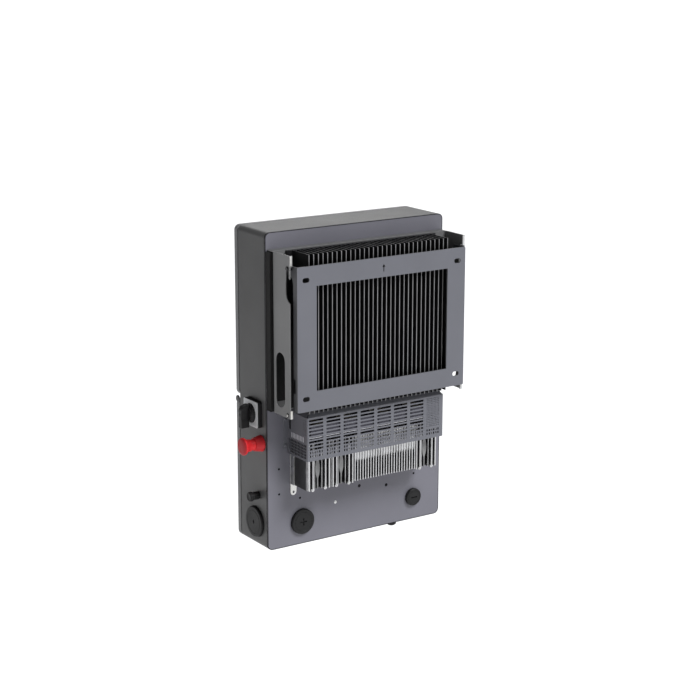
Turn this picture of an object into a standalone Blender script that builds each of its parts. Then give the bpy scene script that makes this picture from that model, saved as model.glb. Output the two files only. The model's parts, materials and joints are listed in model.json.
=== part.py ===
"""A wall-hung three-phase string inverter, built from separate sub-parts. Metres, +Z up.

The wall is the plane y = 0 and the room is towards -Y. Heights are measured from the chassis's
underside while the parts are made; at the end everything is lowered by DATUM, so that the origin
is the middle of the wall plate's lower rail, on the wall. +X is the side with the controls.
"""

import math

import bmesh
import bpy
from mathutils import Matrix, Vector

# Chassis and covers
GAP = 0.0003
INSET = 0.0002
SHEET = 0.002
WIDTH = 0.491
HEIGHT = 0.750
CORNER = 0.013
STAND_OFF = 0.111
CHASSIS_DEPTH = 0.1195
SEAM = 0.004
COVER_DEPTH = 0.016
COVER_EDGE = 0.004
COVER_SPLIT = 0.3425
COVER_GAP = 0.010
GROOVE_BACK, GROOVE_FRONT, GROOVE = 0.0010, 0.0045, 0.0008
LIP = 0.018
SIDE = WIDTH / 2

# Wall plate
DATUM = 0.379
PLATE = 0.003
PLATE_HALF = 0.2306
PLATE_LOW, PLATE_HIGH = 0.3568, 0.6876
WINDOW_HALF = 0.180
WINDOW_LOW, WINDOW_HIGH = 0.4018, 0.6417
SLOT_X = 0.2077
SLOT_LOW, SLOT_HIGH = 0.386, 0.657
SLOT_LENGTH, SLOT_WIDTH = 0.018, 0.011
FLANGE_REACH = 0.094
EAR_REACH = 0.0665

# Hanging channel: its two side walls stand behind the chassis and hook over the plate's pins
CHANNEL_HALF = 0.240
GASKET_HALF = 0.2445
CHANNEL_LOW, CHANNEL_HIGH = 0.3405, 0.712
CHANNEL_REACH = 0.0955
CHANNEL_WAIST = 0.0945
CHANNEL_WEB = 0.0185
CHANNEL_BEND = 0.009
CHANNEL_LIP = 0.007
HOOK_TOP = 0.6875
PIN_RADIUS = 0.005
PIN_SHANK = 0.003
PIN_DEPTH = 0.0855
PIN_LENGTH = 0.0141
PIN_HEIGHT = HOOK_TOP - GAP - PIN_RADIUS
HANDLE_LOW, HANDLE_HIGH = 0.3595, 0.4865
HANDLE_FRONT, HANDLE_BACK = 0.0335, 0.0725
LIP_LOW, LIP_HIGH = 0.360, 0.6880

# Heat sink, fans and choke housing, all behind the chassis
FIN_COUNT = 32
FIN_REACH = 0.096
FIN_HALF = 0.190
FIN = 0.002
SINK_LOW, SINK_HIGH = 0.345, 0.710
SINK_FRONT, SINK_BASE = 0.0208, 0.0290
GUARD_HALF = 0.191
GUARD_REACH = 0.0873
GUARD_LOW, GUARD_HIGH = 0.230, 0.333
GUARD_SHEET = 0.0015
GUARD_COLUMNS = 7
GUARD_COLUMN_PITCH = 0.0468
GUARD_ROWS = 10
GUARD_ROW_PITCH = 0.0083
FAN_COUNT = 4
FAN_PITCH = 0.093
FAN_SIZE = 0.080
FAN_DEPTH = 0.0435
FAN_LOW, FAN_HIGH = 0.285, 0.310
FAN_BORE = 0.038
CHOKE_LOW, CHOKE_HIGH = 0.154, 0.268
CHOKE_REACH = 0.0755
CAN_WIDTH = 0.063
CAN_CENTRES = (0.1505, 0.0857, -0.1515)
COOLER_HIGH_X, COOLER_LOW_X = 0.0537, -0.1195
COOLER_FINS = 24

# Controls on the +X side: depth into the chassis from its back face, and height
SWITCH_DEPTH, SWITCH_HEIGHT = 0.0515, 0.324
STOP_DEPTH, STOP_HEIGHT = 0.0246, 0.256
VENT_DEPTH, VENT_HEIGHT = 0.040, 0.126
SIDE_PLUG_DEPTH, SIDE_PLUG_HEIGHT = 0.053, 0.058
STOP_TRAVEL = 0.006

# Plugs on the back, as (x, height), and fittings through the underside
LARGE_PLUG = (0.152, 0.056)
SMALL_PLUG = (-0.166, 0.057)
GLAND_X, DRAIN_X = -0.132, -0.060
UNDERSIDE_DEPTH = 0.040

SIDES = (("right", 1, "+X"), ("left", -1, "-X"))
PARTS = bpy.data.collections.new("string_inverter")
CUTTERS = bpy.data.collections.new("cutters")
MATERIALS = {}

PAINTS = {
    "paint": ((0.115, 0.118, 0.125), 0.0, 0.45),
    "paint_back": ((0.20, 0.205, 0.225), 0.1, 0.42),
    "black_metal": ((0.012, 0.012, 0.013), 0.3, 0.40),
    "aluminium": ((0.62, 0.62, 0.62), 1.0, 0.32),
    "zinc": ((0.72, 0.73, 0.74), 1.0, 0.35),
    "steel": ((0.60, 0.60, 0.60), 1.0, 0.25),
    "dark_steel": ((0.05, 0.05, 0.052), 1.0, 0.40),
    "black_plastic": ((0.013, 0.013, 0.013), 0.0, 0.45),
    "rubber": ((0.010, 0.010, 0.010), 0.0, 0.80),
    "grey_plastic": ((0.55, 0.56, 0.57), 0.0, 0.40),
    "red_plastic": ((0.75, 0.012, 0.012), 0.0, 0.32),
    "board": ((0.010, 0.110, 0.045), 0.0, 0.45),
    "lens": ((0.05, 0.06, 0.07), 0.0, 0.10),
    "orange_plastic": ((0.75, 0.20, 0.02), 0.0, 0.45),
    "copper": ((0.72, 0.33, 0.16), 1.0, 0.30),
}


def behind(depth):
    """The y of a point this far behind the chassis's back face, towards the wall."""
    return -STAND_OFF + depth


def inside(depth):
    """The y of a point this deep in the chassis, from its back face."""
    return -STAND_OFF - depth


def material(name):
    if name in MATERIALS:
        return MATERIALS[name]
    colour, metallic, roughness = PAINTS[name]
    made = bpy.data.materials.new(name)
    made.use_nodes = True
    shader = made.node_tree.nodes["Principled BSDF"]
    shader.inputs["Base Color"].default_value = (*colour, 1.0)
    shader.inputs["Metallic"].default_value = metallic
    shader.inputs["Roughness"].default_value = roughness
    MATERIALS[name] = made
    return made


def add(name, mesh, paint, matrix, smooth=False):
    """Puts a mesh in the scene: with a paint it is a sub-part, and without one it is a cutter."""
    made = bpy.data.objects.new(name, mesh)
    made.matrix_world = matrix
    if paint is None:
        CUTTERS.objects.link(made)
        made.hide_render = True
        made.display_type = "WIRE"
    else:
        PARTS.objects.link(made)
        mesh.materials.append(material(paint))
    if smooth:
        mesh.shade_smooth()
        mesh.set_sharp_from_angle(angle=math.radians(40))
    return made


def mesh_of(name, bm):
    bmesh.ops.recalc_face_normals(bm, faces=bm.faces)
    mesh = bpy.data.meshes.new(name)
    bm.to_mesh(mesh)
    bm.free()
    return mesh


def box(name, low, high, paint=None, radius=0.0, along=None, steps=4):
    """A box between two corners. With a radius, its edges along one axis are rounded."""
    low, high = Vector(low), Vector(high)
    size = high - low
    bm = bmesh.new()
    bmesh.ops.create_cube(bm, size=1.0, matrix=Matrix.Diagonal((*size, 1.0)))
    if radius:
        axis = "XYZ".index(along)
        edges = [e for e in bm.edges if abs((e.verts[0].co - e.verts[1].co)[axis]) > size[axis] / 2]
        bmesh.ops.bevel(bm, geom=edges, offset=radius, segments=steps, affect="EDGES", profile=0.5)
    return add(name, mesh_of(name, bm), paint, Matrix.Translation((low + high) / 2))


def turn_to(axis):
    """The rotation that takes local +Z to a world axis such as '+X' or '-Y'."""
    direction = Vector([0.0, 0.0, 0.0])
    direction["XYZ".index(axis[1])] = -1.0 if axis[0] == "-" else 1.0
    return direction.to_track_quat("Z", "Y").to_matrix().to_4x4()


def rod(name, base, axis, radius, length, paint=None, steps=16):
    """A cylinder that starts at base and runs along a world axis."""
    bm = bmesh.new()
    middle = Matrix.Translation((0, 0, length / 2))
    bmesh.ops.create_cone(
        bm, cap_ends=True, segments=steps, radius1=radius, radius2=radius, depth=length, matrix=middle
    )
    return add(name, mesh_of(name, bm), paint, Matrix.Translation(base) @ turn_to(axis), smooth=True)


def turned(name, base, axis, profile, paint=None, steps=20):
    """A turned shape. The profile lists (radius, distance along the axis), furthest point first."""
    mesh = bpy.data.meshes.new(name)
    points = [(radius, 0.0, reach) for radius, reach in profile]
    mesh.from_pydata(points, [(i, i + 1) for i in range(len(points) - 1)], [])
    made = add(name, mesh, paint, Matrix.Translation(base) @ turn_to(axis))
    screw = made.modifiers.new("turn", "SCREW")
    screw.axis = "Z"
    screw.steps = screw.render_steps = steps
    screw.use_merge_vertices = True
    screw.merge_threshold = 0.00001
    screw.use_smooth_shade = False
    return made


PLANES = {
    "XY": Matrix.Identity(4),
    "XZ": Matrix.Rotation(math.radians(90), 4, "X"),
    "YZ": Matrix(((0, 0, 1, 0), (1, 0, 0, 0), (0, 1, 0, 0), (0, 0, 0, 1))),
}
NORMALS = {"XY": Vector((0, 0, 1)), "XZ": Vector((0, 1, 0)), "YZ": Vector((1, 0, 0))}


def sheet(name, loops, plane, low, high, paint=None):
    """A flat sheet from its outline and holes, given in a world plane, between two distances."""
    curve = bpy.data.curves.new(name, "CURVE")
    curve.dimensions = "2D"
    curve.fill_mode = "BOTH"
    curve.extrude = (high - low) / 2
    for loop in loops:
        spline = curve.splines.new("POLY")
        spline.points.add(len(loop) - 1)
        for point, (u, v) in zip(spline.points, loop):
            point.co = (u, v, 0.0, 1.0)
        spline.use_cyclic_u = True
    guide = bpy.data.objects.new(name, curve)
    CUTTERS.objects.link(guide)
    graph = bpy.context.evaluated_depsgraph_get()
    flat = bpy.data.meshes.new_from_object(guide.evaluated_get(graph))
    bpy.data.objects.remove(guide)
    bm = bmesh.new()
    bm.from_mesh(flat)
    bpy.data.meshes.remove(flat)
    bmesh.ops.remove_doubles(bm, verts=bm.verts, dist=0.000001)
    middle = NORMALS[plane] * (low + high) / 2
    return add(name, mesh_of(name, bm), paint, Matrix.Translation(middle) @ PLANES[plane])


def combine(target, operation, tools):
    for tool in tools:
        modifier = target.modifiers.new(tool.name, "BOOLEAN")
        modifier.operation = operation
        modifier.solver = "EXACT"
        modifier.object = tool
    return target


def cut(target, *tools):
    return combine(target, "DIFFERENCE", tools)


def join(target, *tools):
    return combine(target, "UNION", tools)


def arc(centre, radius, start, end, steps=4):
    """Points on an arc, with its angles in degrees."""
    angles = [math.radians(start + (end - start) * i / steps) for i in range(steps + 1)]
    return [(centre[0] + radius * math.cos(a), centre[1] + radius * math.sin(a)) for a in angles]


def rounded(low, high, radius, steps=3):
    """The outline of a rectangle with round corners."""
    (left, bottom), (right, top) = low, high
    return (
        arc((right - radius, top - radius), radius, 0, 90, steps)
        + arc((left + radius, top - radius), radius, 90, 180, steps)
        + arc((left + radius, bottom + radius), radius, 180, 270, steps)
        + arc((right - radius, bottom + radius), radius, 270, 360, steps)
    )


def rectangle(low, high):
    return [(low[0], low[1]), (high[0], low[1]), (high[0], high[1]), (low[0], high[1])]


# ---------------------------------------------------------------- wall plate


def arrow(tip):
    """A small arrow cut-out that points up, to show which way the plate hangs."""
    head, shaft, length = 0.0045, 0.0012, 0.018
    left = [(-shaft, tip - length), (shaft, tip - length), (shaft, tip - 0.007), (head, tip - 0.007)]
    return left + [(0.0, tip), (-head, tip - 0.007), (-shaft, tip - 0.007)]


def plate_flange():
    """One folded side of the plate: a strip with a hook ear at the top and a latch notch below."""
    edge, ear, fold = behind(FLANGE_REACH), behind(EAR_REACH), -PLATE / 2
    notch_low, notch_high, notch = 0.3989, 0.4326, 0.008
    return [
        (fold, PLATE_LOW),
        (fold, PLATE_HIGH),
        (ear + 0.003, PLATE_HIGH),
        (ear, PLATE_HIGH - 0.003),
        (ear, PLATE_HIGH - 0.018),
        (ear + 0.004, PLATE_HIGH - 0.021),
        (edge - 0.004, PLATE_HIGH - 0.027),
        (edge, PLATE_HIGH - 0.040),
        (edge, notch_high),
        (edge + notch, notch_high),
        (edge + notch, notch_low),
        (edge, notch_low),
        (edge, PLATE_LOW + 0.004),
        (edge + 0.004, PLATE_LOW),
    ]


def make_wall_plate():
    half = PLATE_HALF
    loops = [rounded((-half, PLATE_LOW), (half, PLATE_HIGH), 0.003)]
    loops.append(rectangle((-WINDOW_HALF, WINDOW_LOW), (WINDOW_HALF, WINDOW_HIGH)))
    loops.append(arrow(0.672))
    for x in (-SLOT_X, SLOT_X):
        for z in (SLOT_LOW, SLOT_HIGH):
            low = (x - SLOT_LENGTH / 2, z - SLOT_WIDTH / 2)
            high = (x + SLOT_LENGTH / 2, z + SLOT_WIDTH / 2)
            loops.append(rounded(low, high, SLOT_WIDTH / 2 - 0.0005, 4))
    plate = sheet("wall_plate", loops, "XZ", -PLATE, 0.0, "paint_back")
    for side, sign, outward in SIDES:
        outer = sign * (half - INSET)
        inner = sign * (half - SHEET)
        flange = sheet(f"flange_{side}", [plate_flange()], "YZ", min(outer, inner), max(outer, inner))
        join(plate, flange)
        place = (sign * (half - 0.009), behind(PIN_DEPTH), PIN_HEIGHT)
        cut(plate, rod(f"pin_bore_{side}", place, outward, PIN_SHANK + GAP, 0.012))
        tip = [(0.0, PIN_LENGTH), (PIN_RADIUS - 0.0008, PIN_LENGTH)]
        head = tip + [(PIN_RADIUS, PIN_LENGTH - 0.0007), (PIN_RADIUS, 0.0023)]
        shank = [(PIN_SHANK, 0.0023), (PIN_SHANK, -0.0022), (0.0, -0.0022)]
        base = (sign * (half - 0.0022), behind(PIN_DEPTH), PIN_HEIGHT)
        turned(f"hanger_pin_{side}", base, outward, head + shank, "dark_steel", 16)


# ---------------------------------------------------------------- chassis and covers


def seam_cutter():
    """A frame that cuts the shallow groove round the chassis, just in front of its back edge."""
    clear = 0.002
    low = (-SIDE - clear, inside(GROOVE_FRONT), -clear)
    high = (SIDE + clear, inside(GROOVE_BACK), HEIGHT + clear)
    ring = box("seam_ring", low, high)
    low = (-SIDE + GROOVE, inside(GROOVE_FRONT + clear), GROOVE)
    high = (SIDE - GROOVE, inside(GROOVE_BACK - clear), HEIGHT - GROOVE)
    return cut(ring, box("seam_core", low, high, None, CORNER - GROOVE, "Y", 4))


def make_chassis():
    front = inside(CHASSIS_DEPTH)
    chassis = box("chassis", (-SIDE, front, 0), (SIDE, inside(0), HEIGHT), "paint", CORNER, "Y", 4)
    low = (-SIDE + SHEET, front + SHEET, SHEET)
    high = (SIDE - SHEET, inside(SHEET), HEIGHT - SHEET)
    hollow = box("chassis_hollow", low, high, None, CORNER - SHEET, "Y", 4)
    low = (-SIDE + LIP, front - SHEET, LIP)
    high = (SIDE - LIP, front + 2 * SHEET, HEIGHT - LIP)
    mouth = box("chassis_mouth", low, high, None, 0.006, "Y", 3)
    window = box("module_window", (-0.185, inside(0.004), 0.365), (0.185, behind(0.004), 0.695))
    cut(chassis, hollow, mouth, window, seam_cutter())
    cut_side_holes(chassis)
    cut_back_holes(chassis)
    for name, x, radius in (("gland_hole", GLAND_X, 0.0105), ("drain_hole", DRAIN_X, 0.0155)):
        cut(chassis, rod(name, (x, inside(UNDERSIDE_DEPTH), -0.003), "+Z", radius, 0.008))
    for number, (x, z) in enumerate(cover_screw_places(), 1):
        place = (x, front - 0.002, z)
        cut(chassis, rod(f"cover_screw_hole_{number}", place, "+Y", 0.0024, 0.008, steps=8))


def cut_side_holes(chassis):
    holes = (
        ("switch_hole", SWITCH_DEPTH, SWITCH_HEIGHT, 0.007),
        ("stop_hole", STOP_DEPTH, STOP_HEIGHT, 0.0113),
        ("vent_hole", VENT_DEPTH, VENT_HEIGHT, 0.008),
        ("side_plug_hole", SIDE_PLUG_DEPTH, SIDE_PLUG_HEIGHT, 0.034),
    )
    for name, depth, z, radius in holes:
        cut(chassis, rod(name, (SIDE - 0.004, inside(depth), z), "+X", radius, 0.008, steps=24))


def cut_back_holes(chassis):
    screw_holes = (
        (0.0584, 0.0849, 0.0035),
        (0.157, 0.114, 0.0025),
        (0.214, 0.133, 0.0025),
        (0.214, 0.194, 0.0025),
        (-0.0098, 0.113, 0.0035),
        (-0.088, 0.101, 0.0035),
        (-0.169, 0.116, 0.0025),
    )
    for name, (x, z), radius in (("large", LARGE_PLUG, 0.0275), ("small", SMALL_PLUG, 0.0195)):
        cut(chassis, rod(f"rear_hole_{name}", (x, inside(0.004), z), "+Y", radius, 0.008, steps=24))
    for number, (x, z, radius) in enumerate(screw_holes, 1):
        cut(chassis, rod(f"back_hole_{number}", (x, inside(0.004), z), "+Y", radius, 0.008, steps=8))


def make_partition():
    """The shelf between the two compartments, with the rail that both covers close against."""
    front = inside(CHASSIS_DEPTH)
    half = SIDE - SHEET - GAP
    shelf_front = front + SHEET + GAP
    low = (-half, shelf_front, COVER_SPLIT - SHEET / 2)
    high = (half, inside(SHEET + GAP), COVER_SPLIT + SHEET / 2)
    shelf = box("partition", low, high, "zinc")
    rail_half, rail_reach = SIDE - LIP - GAP, 0.020
    low = (-rail_half, front, COVER_SPLIT - rail_reach)
    high = (rail_half, front + 0.003, COVER_SPLIT + rail_reach)
    join(shelf, box("partition_rail", low, high))
    for number, x in enumerate((-0.15, 0.05), 1):
        low = (x - 0.04, inside(0.030), COVER_SPLIT - 2 * SHEET)
        high = (x + 0.04, inside(0.012), COVER_SPLIT + 2 * SHEET)
        cut(shelf, box(f"cable_slot_{number}", low, high, None, 0.006, "Z", 3))


def cover_span(upper):
    half_gap = COVER_GAP / 2
    return (COVER_SPLIT + half_gap, HEIGHT) if upper else (0.0, COVER_SPLIT - half_gap)


def make_gasket(name, upper):
    low, high = cover_span(upper)
    edge, width = 0.0035, 0.0105
    front = inside(CHASSIS_DEPTH + SEAM - GAP)
    back = inside(CHASSIS_DEPTH + GAP)
    outer = rounded((-SIDE + edge, low + edge), (SIDE - edge, high - edge), CORNER - edge, 4)
    inner = rounded((-SIDE + width, low + width), (SIDE - width, high - width), 0.004, 3)
    sheet(name, [outer, inner], "XZ", front, back, "rubber")


def make_cover(name, upper):
    """A pan with a rounded front edge, hollow at the back."""
    low, high = cover_span(upper)
    back = inside(CHASSIS_DEPTH + SEAM)
    front = back - COVER_DEPTH
    bm = bmesh.new()
    size = Vector((WIDTH, COVER_DEPTH, high - low))
    bmesh.ops.create_cube(bm, size=1.0, matrix=Matrix.Diagonal((*size, 1.0)))
    corners = [e for e in bm.edges if abs((e.verts[0].co - e.verts[1].co).y) > COVER_DEPTH / 2]
    bmesh.ops.bevel(bm, geom=corners, offset=CORNER, segments=5, affect="EDGES", profile=0.5)
    rim = [e for e in bm.edges if all(v.co.y < -COVER_DEPTH / 2 + 0.0001 for v in e.verts)]
    bmesh.ops.bevel(bm, geom=rim, offset=COVER_EDGE, segments=2, affect="EDGES", profile=0.5)
    middle = Matrix.Translation((0, (front + back) / 2, (low + high) / 2))
    cover = add(name, mesh_of(name, bm), "paint", middle, smooth=True)
    wall = 2 * SHEET
    near, far = (-SIDE + wall, front + SHEET, low + wall), (SIDE - wall, back + SHEET, high - wall)
    return cut(cover, box(f"{name}_hollow", near, far, None, CORNER - wall, "Y", 3))


def cover_screw_places():
    """The lower cover's captive screws, one near each corner, over the chassis's lip."""
    x, low, high = SIDE - 0.0135, 0.045, 0.290
    return [(x, high), (-x, high), (x, low), (-x, low)]


def make_covers():
    front = inside(CHASSIS_DEPTH + SEAM + COVER_DEPTH)
    upper = make_cover("upper_cover", True)
    make_gasket("upper_cover_gasket", True)
    half, low, high = 0.046, 0.394, 0.406
    near, far = (-half - GAP, front - SHEET, low - GAP), (half + GAP, front + 2 * SHEET, high + GAP)
    cut(upper, box("window_seat", near, far, None, 0.0055, "Y", 4))
    near, far = (-half, front + 0.0004, low), (half, front + 0.0034, high)
    box("status_window", near, far, "lens", 0.0052, "Y", 4)
    lower = make_cover("lower_cover", False)
    make_gasket("lower_cover_gasket", False)
    shank, head = 0.0018, 0.0044
    profile = [(0.0, 0.0270), (shank, 0.0270), (shank, 0.0026), (head, 0.0026), (head, 0.0), (0.0, 0.0)]
    for number, (x, z) in enumerate(cover_screw_places(), 1):
        cut(lower, rod(f"screw_seat_{number}", (x, front - 0.002, z), "+Y", 0.0022, 0.025, steps=8))
        turned(f"cover_screw_{number}", (x, front - 0.0029, z), "+Y", profile, "steel", 14)


# ---------------------------------------------------------------- hanging channel and heat sink


def channel_section():
    """The channel seen from above: a web and two side walls, with round bends between them."""
    outer, web, back = CHANNEL_HALF, behind(CHANNEL_WEB), behind(CHANNEL_REACH)
    centre = (outer - CHANNEL_BEND, web + CHANNEL_BEND)
    right = [(outer, back), (outer - SHEET, back)] + arc(centre, CHANNEL_BEND - SHEET, 0, -90)
    outside_bend = arc(centre, CHANNEL_BEND, -90, 0)
    mirrored = [(-x, y) for x, y in reversed(right)] + [(-x, y) for x, y in reversed(outside_bend)]
    return right + mirrored + outside_bend


def channel_profile():
    """The side wall's outline: a hook finger at the top back corner, over a guide for the pin."""
    front, back, waist = behind(CHANNEL_WEB - 0.001), behind(CHANNEL_REACH + 0.001), behind(CHANNEL_WAIST)
    finger, throat = behind(0.0912), behind(0.0798)
    return [
        (front, CHANNEL_LOW),
        (back, CHANNEL_LOW),
        (back, LIP_LOW),
        (waist, LIP_LOW + 0.001),
        (waist, 0.605),
        (behind(0.0865), 0.609),
        (behind(0.0805), 0.615),
        (behind(0.0775), 0.624),
        (behind(0.0770), 0.642),
        (throat, HOOK_TOP - 0.002),
        (throat + 0.002, HOOK_TOP),
        (finger - 0.002, HOOK_TOP),
        (finger, HOOK_TOP - 0.002),
        (finger, 0.663),
        (finger + 0.002, 0.660),
        (back, 0.660),
        (back, CHANNEL_HIGH),
        (front, CHANNEL_HIGH),
    ]


def channel_top():
    """The flange that closes the channel's top, seen from above: it reaches forward to the chassis."""
    half, front = CHANNEL_HALF - INSET, behind(GAP)
    bend = CHANNEL_BEND - SHEET / 2
    centre = (CHANNEL_HALF - CHANNEL_BEND, behind(CHANNEL_WEB) + CHANNEL_BEND)
    corner = [(half, front), (half, centre[1])] + arc(centre, bend, 0, -90)
    return corner + [(-x, y) for x, y in reversed(corner)]


def make_channel():
    low, high = CHANNEL_LOW, CHANNEL_HIGH
    channel = sheet("rear_channel", [channel_section()], "XY", low, high, "paint_back")
    near, far = (behind(HANDLE_FRONT), HANDLE_LOW), (behind(HANDLE_BACK), HANDLE_HIGH)
    handle = rounded(near, far, (HANDLE_BACK - HANDLE_FRONT) / 2 - 0.001, 4)
    wide = CHANNEL_HALF + 0.005
    combine(channel, "INTERSECT", [sheet("channel_cut", [channel_profile(), handle], "YZ", -wide, wide)])
    near = (-0.196, behind(CHANNEL_WEB - SHEET), 0.354)
    far = (0.196, behind(CHANNEL_WEB + 2 * SHEET), 0.700)
    cut(channel, box("channel_window", near, far))
    join(channel, sheet("channel_top", [channel_top()], "XY", high - SHEET - INSET, high - INSET))
    for side, sign, _ in SIDES:
        outer, inner = sign * (CHANNEL_HALF - INSET), sign * (CHANNEL_HALF - CHANNEL_LIP)
        near, far = behind(CHANNEL_REACH - SHEET), behind(CHANNEL_REACH) - INSET
        spans = (("low", CHANNEL_LOW + INSET, LIP_LOW), ("high", LIP_HIGH, CHANNEL_HIGH - INSET))
        for level, low, high in spans:
            lip = box(f"lip_{side}_{level}", (min(outer, inner), near, low), (max(outer, inner), far, high))
            join(channel, lip)
    outer = rectangle((-GASKET_HALF, CHANNEL_LOW), (GASKET_HALF, CHANNEL_HIGH - 2 * SHEET))
    inner = rectangle((-0.190, 0.368), (0.190, 0.693))
    web = behind(CHANNEL_WEB - GAP)
    sheet("heat_sink_gasket", [outer, inner], "XZ", behind(GAP), web, "rubber")


def comb(left, right, base, root, reach, count, thick):
    """The outline of a finned block seen from above: a base with count fins."""
    points = [(left, root)]
    pitch = (right - left - thick) / (count - 1)
    for number in range(count):
        start = left + number * pitch
        fin = [(start, base), (start, reach), (start + thick, reach), (start + thick, base)]
        points += fin[1:] if number == 0 else fin
    return points[:-1] + [(right, root)]


def make_heat_sink():
    """A base plate with vertical fins. The base is wider than the fins, to bolt to the channel."""
    half, root = FIN_HALF + FIN / 2, behind(SINK_FRONT + 0.001)
    fins = comb(-half, half, behind(SINK_BASE), root, behind(FIN_REACH), FIN_COUNT, FIN)
    sink = sheet("heat_sink", [fins], "XY", SINK_LOW, SINK_HIGH, "black_metal")
    low, high = (-0.205, behind(SINK_FRONT), SINK_LOW), (0.205, behind(SINK_BASE - 0.001), SINK_HIGH)
    join(sink, box("sink_base", low, high))


# ---------------------------------------------------------------- fans and their guard


def guard_slots():
    """Cutter for the guard's back face: columns of level slots, short of the far end."""
    slot, height, depth = 0.0385, 0.0045, 0.010
    bm = bmesh.new()
    for column in range(GUARD_COLUMNS):
        x = GUARD_HALF - 0.0045 - slot / 2 - column * GUARD_COLUMN_PITCH
        for row in range(GUARD_ROWS):
            z = GUARD_HIGH - 0.0088 - row * GUARD_ROW_PITCH
            place = Matrix.Translation((x, behind(GUARD_REACH), z))
            size = Matrix.Diagonal((slot, depth, height, 1.0))
            bmesh.ops.create_cube(bm, size=1.0, matrix=place @ size)
    return add("guard_slots", mesh_of("guard_slots", bm), None, Matrix.Identity(4))


def make_guard():
    """A cage over the fans: back face, two side walls and a slanted top flange."""
    reach, inner = behind(GUARD_REACH), behind(GUARD_REACH - GUARD_SHEET)
    low, high = (-GUARD_HALF, inner, GUARD_LOW), (GUARD_HALF, reach, GUARD_HIGH)
    guard = box("fan_guard", low, high, "paint_back")
    cut(guard, guard_slots())
    for side, sign, _ in SIDES:
        outer = sign * (GUARD_HALF - INSET)
        within = sign * (GUARD_HALF - GUARD_SHEET)
        low = (min(outer, within), behind(GAP), GUARD_LOW + INSET)
        wall = box(f"guard_wall_{side}", low, (max(outer, within), reach - INSET, GUARD_HIGH - INSET))
        foot_in, foot_out = sign * (GUARD_HALF - 0.001), sign * (GUARD_HALF + 0.011)
        low = (min(foot_in, foot_out), behind(GAP), GUARD_LOW + 0.012)
        high = (max(foot_in, foot_out), behind(GAP + GUARD_SHEET), GUARD_HIGH - 0.012)
        join(guard, wall, box(f"guard_foot_{side}", low, high))
    slope = [
        (reach - INSET, GUARD_HIGH - 0.0010),
        (behind(0.0790), GUARD_HIGH + 0.0105),
        (behind(0.0775), GUARD_HIGH + 0.0095),
        (inner + INSET, GUARD_HIGH - 0.0020),
    ]
    flange = sheet("guard_flange", [slope], "YZ", -GUARD_HALF + 0.006, GUARD_HALF - 0.006)
    return join(guard, flange)


def fan_places():
    return [((number - (FAN_COUNT - 1) / 2) * FAN_PITCH, number + 1) for number in range(FAN_COUNT)]


def make_fan_tray():
    """The shelf that carries the four fans, with a round hole under each."""
    half, front = 0.189, behind(0.0025)
    loops = [rectangle((-half, front), (half, behind(0.0852)))]
    for x, _ in fan_places():
        loops.append(arc((x, behind(FAN_DEPTH)), FAN_BORE, 0, 345, 23))
    tray = sheet("fan_tray", loops, "XY", FAN_LOW - 0.0018, FAN_LOW - GAP, "zinc")
    high = (half - INSET, front + 0.0015, FAN_LOW - GAP - INSET)
    join(tray, box("tray_lip", (-half + INSET, front + INSET, FAN_LOW - 0.012), high))


def make_fan(x, number):
    """An axial fan that blows up: a square frame with a spider, and a rotor on a vertical shaft."""
    y, half = behind(FAN_DEPTH), FAN_SIZE / 2
    low, high = (x - half, y - half, FAN_LOW), (x + half, y + half, FAN_HIGH)
    frame = box(f"fan_frame_{number}", low, high, "black_plastic", 0.004, "Z", 2)
    cut(frame, rod(f"fan_bore_{number}", (x, y, FAN_LOW - 0.002), "+Z", FAN_BORE, 0.030, steps=24))
    join(frame, rod(f"motor_seat_{number}", (x, y, FAN_LOW + GAP), "+Z", 0.017, 0.0037))
    for arm in range(4):
        angle = math.radians(45 + 90 * arm)
        strut = box(f"strut_{number}_{arm}", (0.010, -0.0015, 0), (FAN_BORE + 0.004, 0.0015, 0.0030))
        turn = Matrix.Translation((x, y, FAN_LOW + 0.0005)) @ Matrix.Rotation(angle, 4, "Z")
        strut.matrix_world = turn @ strut.matrix_world
        join(frame, strut)
    hub = (x, y, FAN_LOW + 0.0050)
    rotor = rod(f"fan_rotor_{number}", hub, "+Z", 0.0165, 0.0180, "aluminium", 16)
    for blade in range(7):
        vane = box(f"blade_{number}_{blade}", (0.012, -0.0085, -0.0006), (0.0360, 0.0085, 0.0006))
        turn = Matrix.Rotation(math.radians(360 * blade / 7), 4, "Z") @ Matrix.Translation((0, 0, 0.009))
        place = rotor.matrix_world @ turn @ Matrix.Rotation(math.radians(-38), 4, "X")
        vane.matrix_world = place @ vane.matrix_world
        join(rotor, vane)


# ---------------------------------------------------------------- choke housing


def rib(centre, width, root, reach, steps=4):
    """One upright rib of a can, seen from above, with a round tip."""
    radius = width / 2
    tip = arc((centre, reach - radius), radius, 180, 0, steps)
    return [(centre - radius, root)] + tip + [(centre + radius, root)]


def make_choke_can(name, centre):
    """A cast can for one filter choke: a block with five upright ribs, two of which end in lugs."""
    half, root = CAN_WIDTH / 2, behind(0.050)
    outer, lug = 0.0282, 0.0152
    ribs = (
        (-outer, 0.0062, CHOKE_REACH),
        (-lug, 0.0078, CHOKE_REACH),
        (0.0, 0.0044, 0.0640),
        (lug, 0.0078, CHOKE_REACH),
        (outer, 0.0062, CHOKE_REACH),
    )
    outline = [(centre - half, behind(0.0026)), (centre - half, root)]
    for offset, width, reach in ribs:
        outline += rib(centre + offset, width, root, behind(reach))
    outline += [(centre + half, root), (centre + half, behind(0.0026))]
    can = sheet(name, [outline], "XY", CHOKE_LOW, CHOKE_HIGH, "aluminium")
    for number, offset in enumerate((-lug, lug), 1):
        start = (centre + offset, behind(0.0526), CHOKE_LOW + 0.0012)
        join(can, rod(f"{name}_lug_{number}", start, "+Y", 0.0050, CHOKE_REACH - 0.0538, steps=12))


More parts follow.
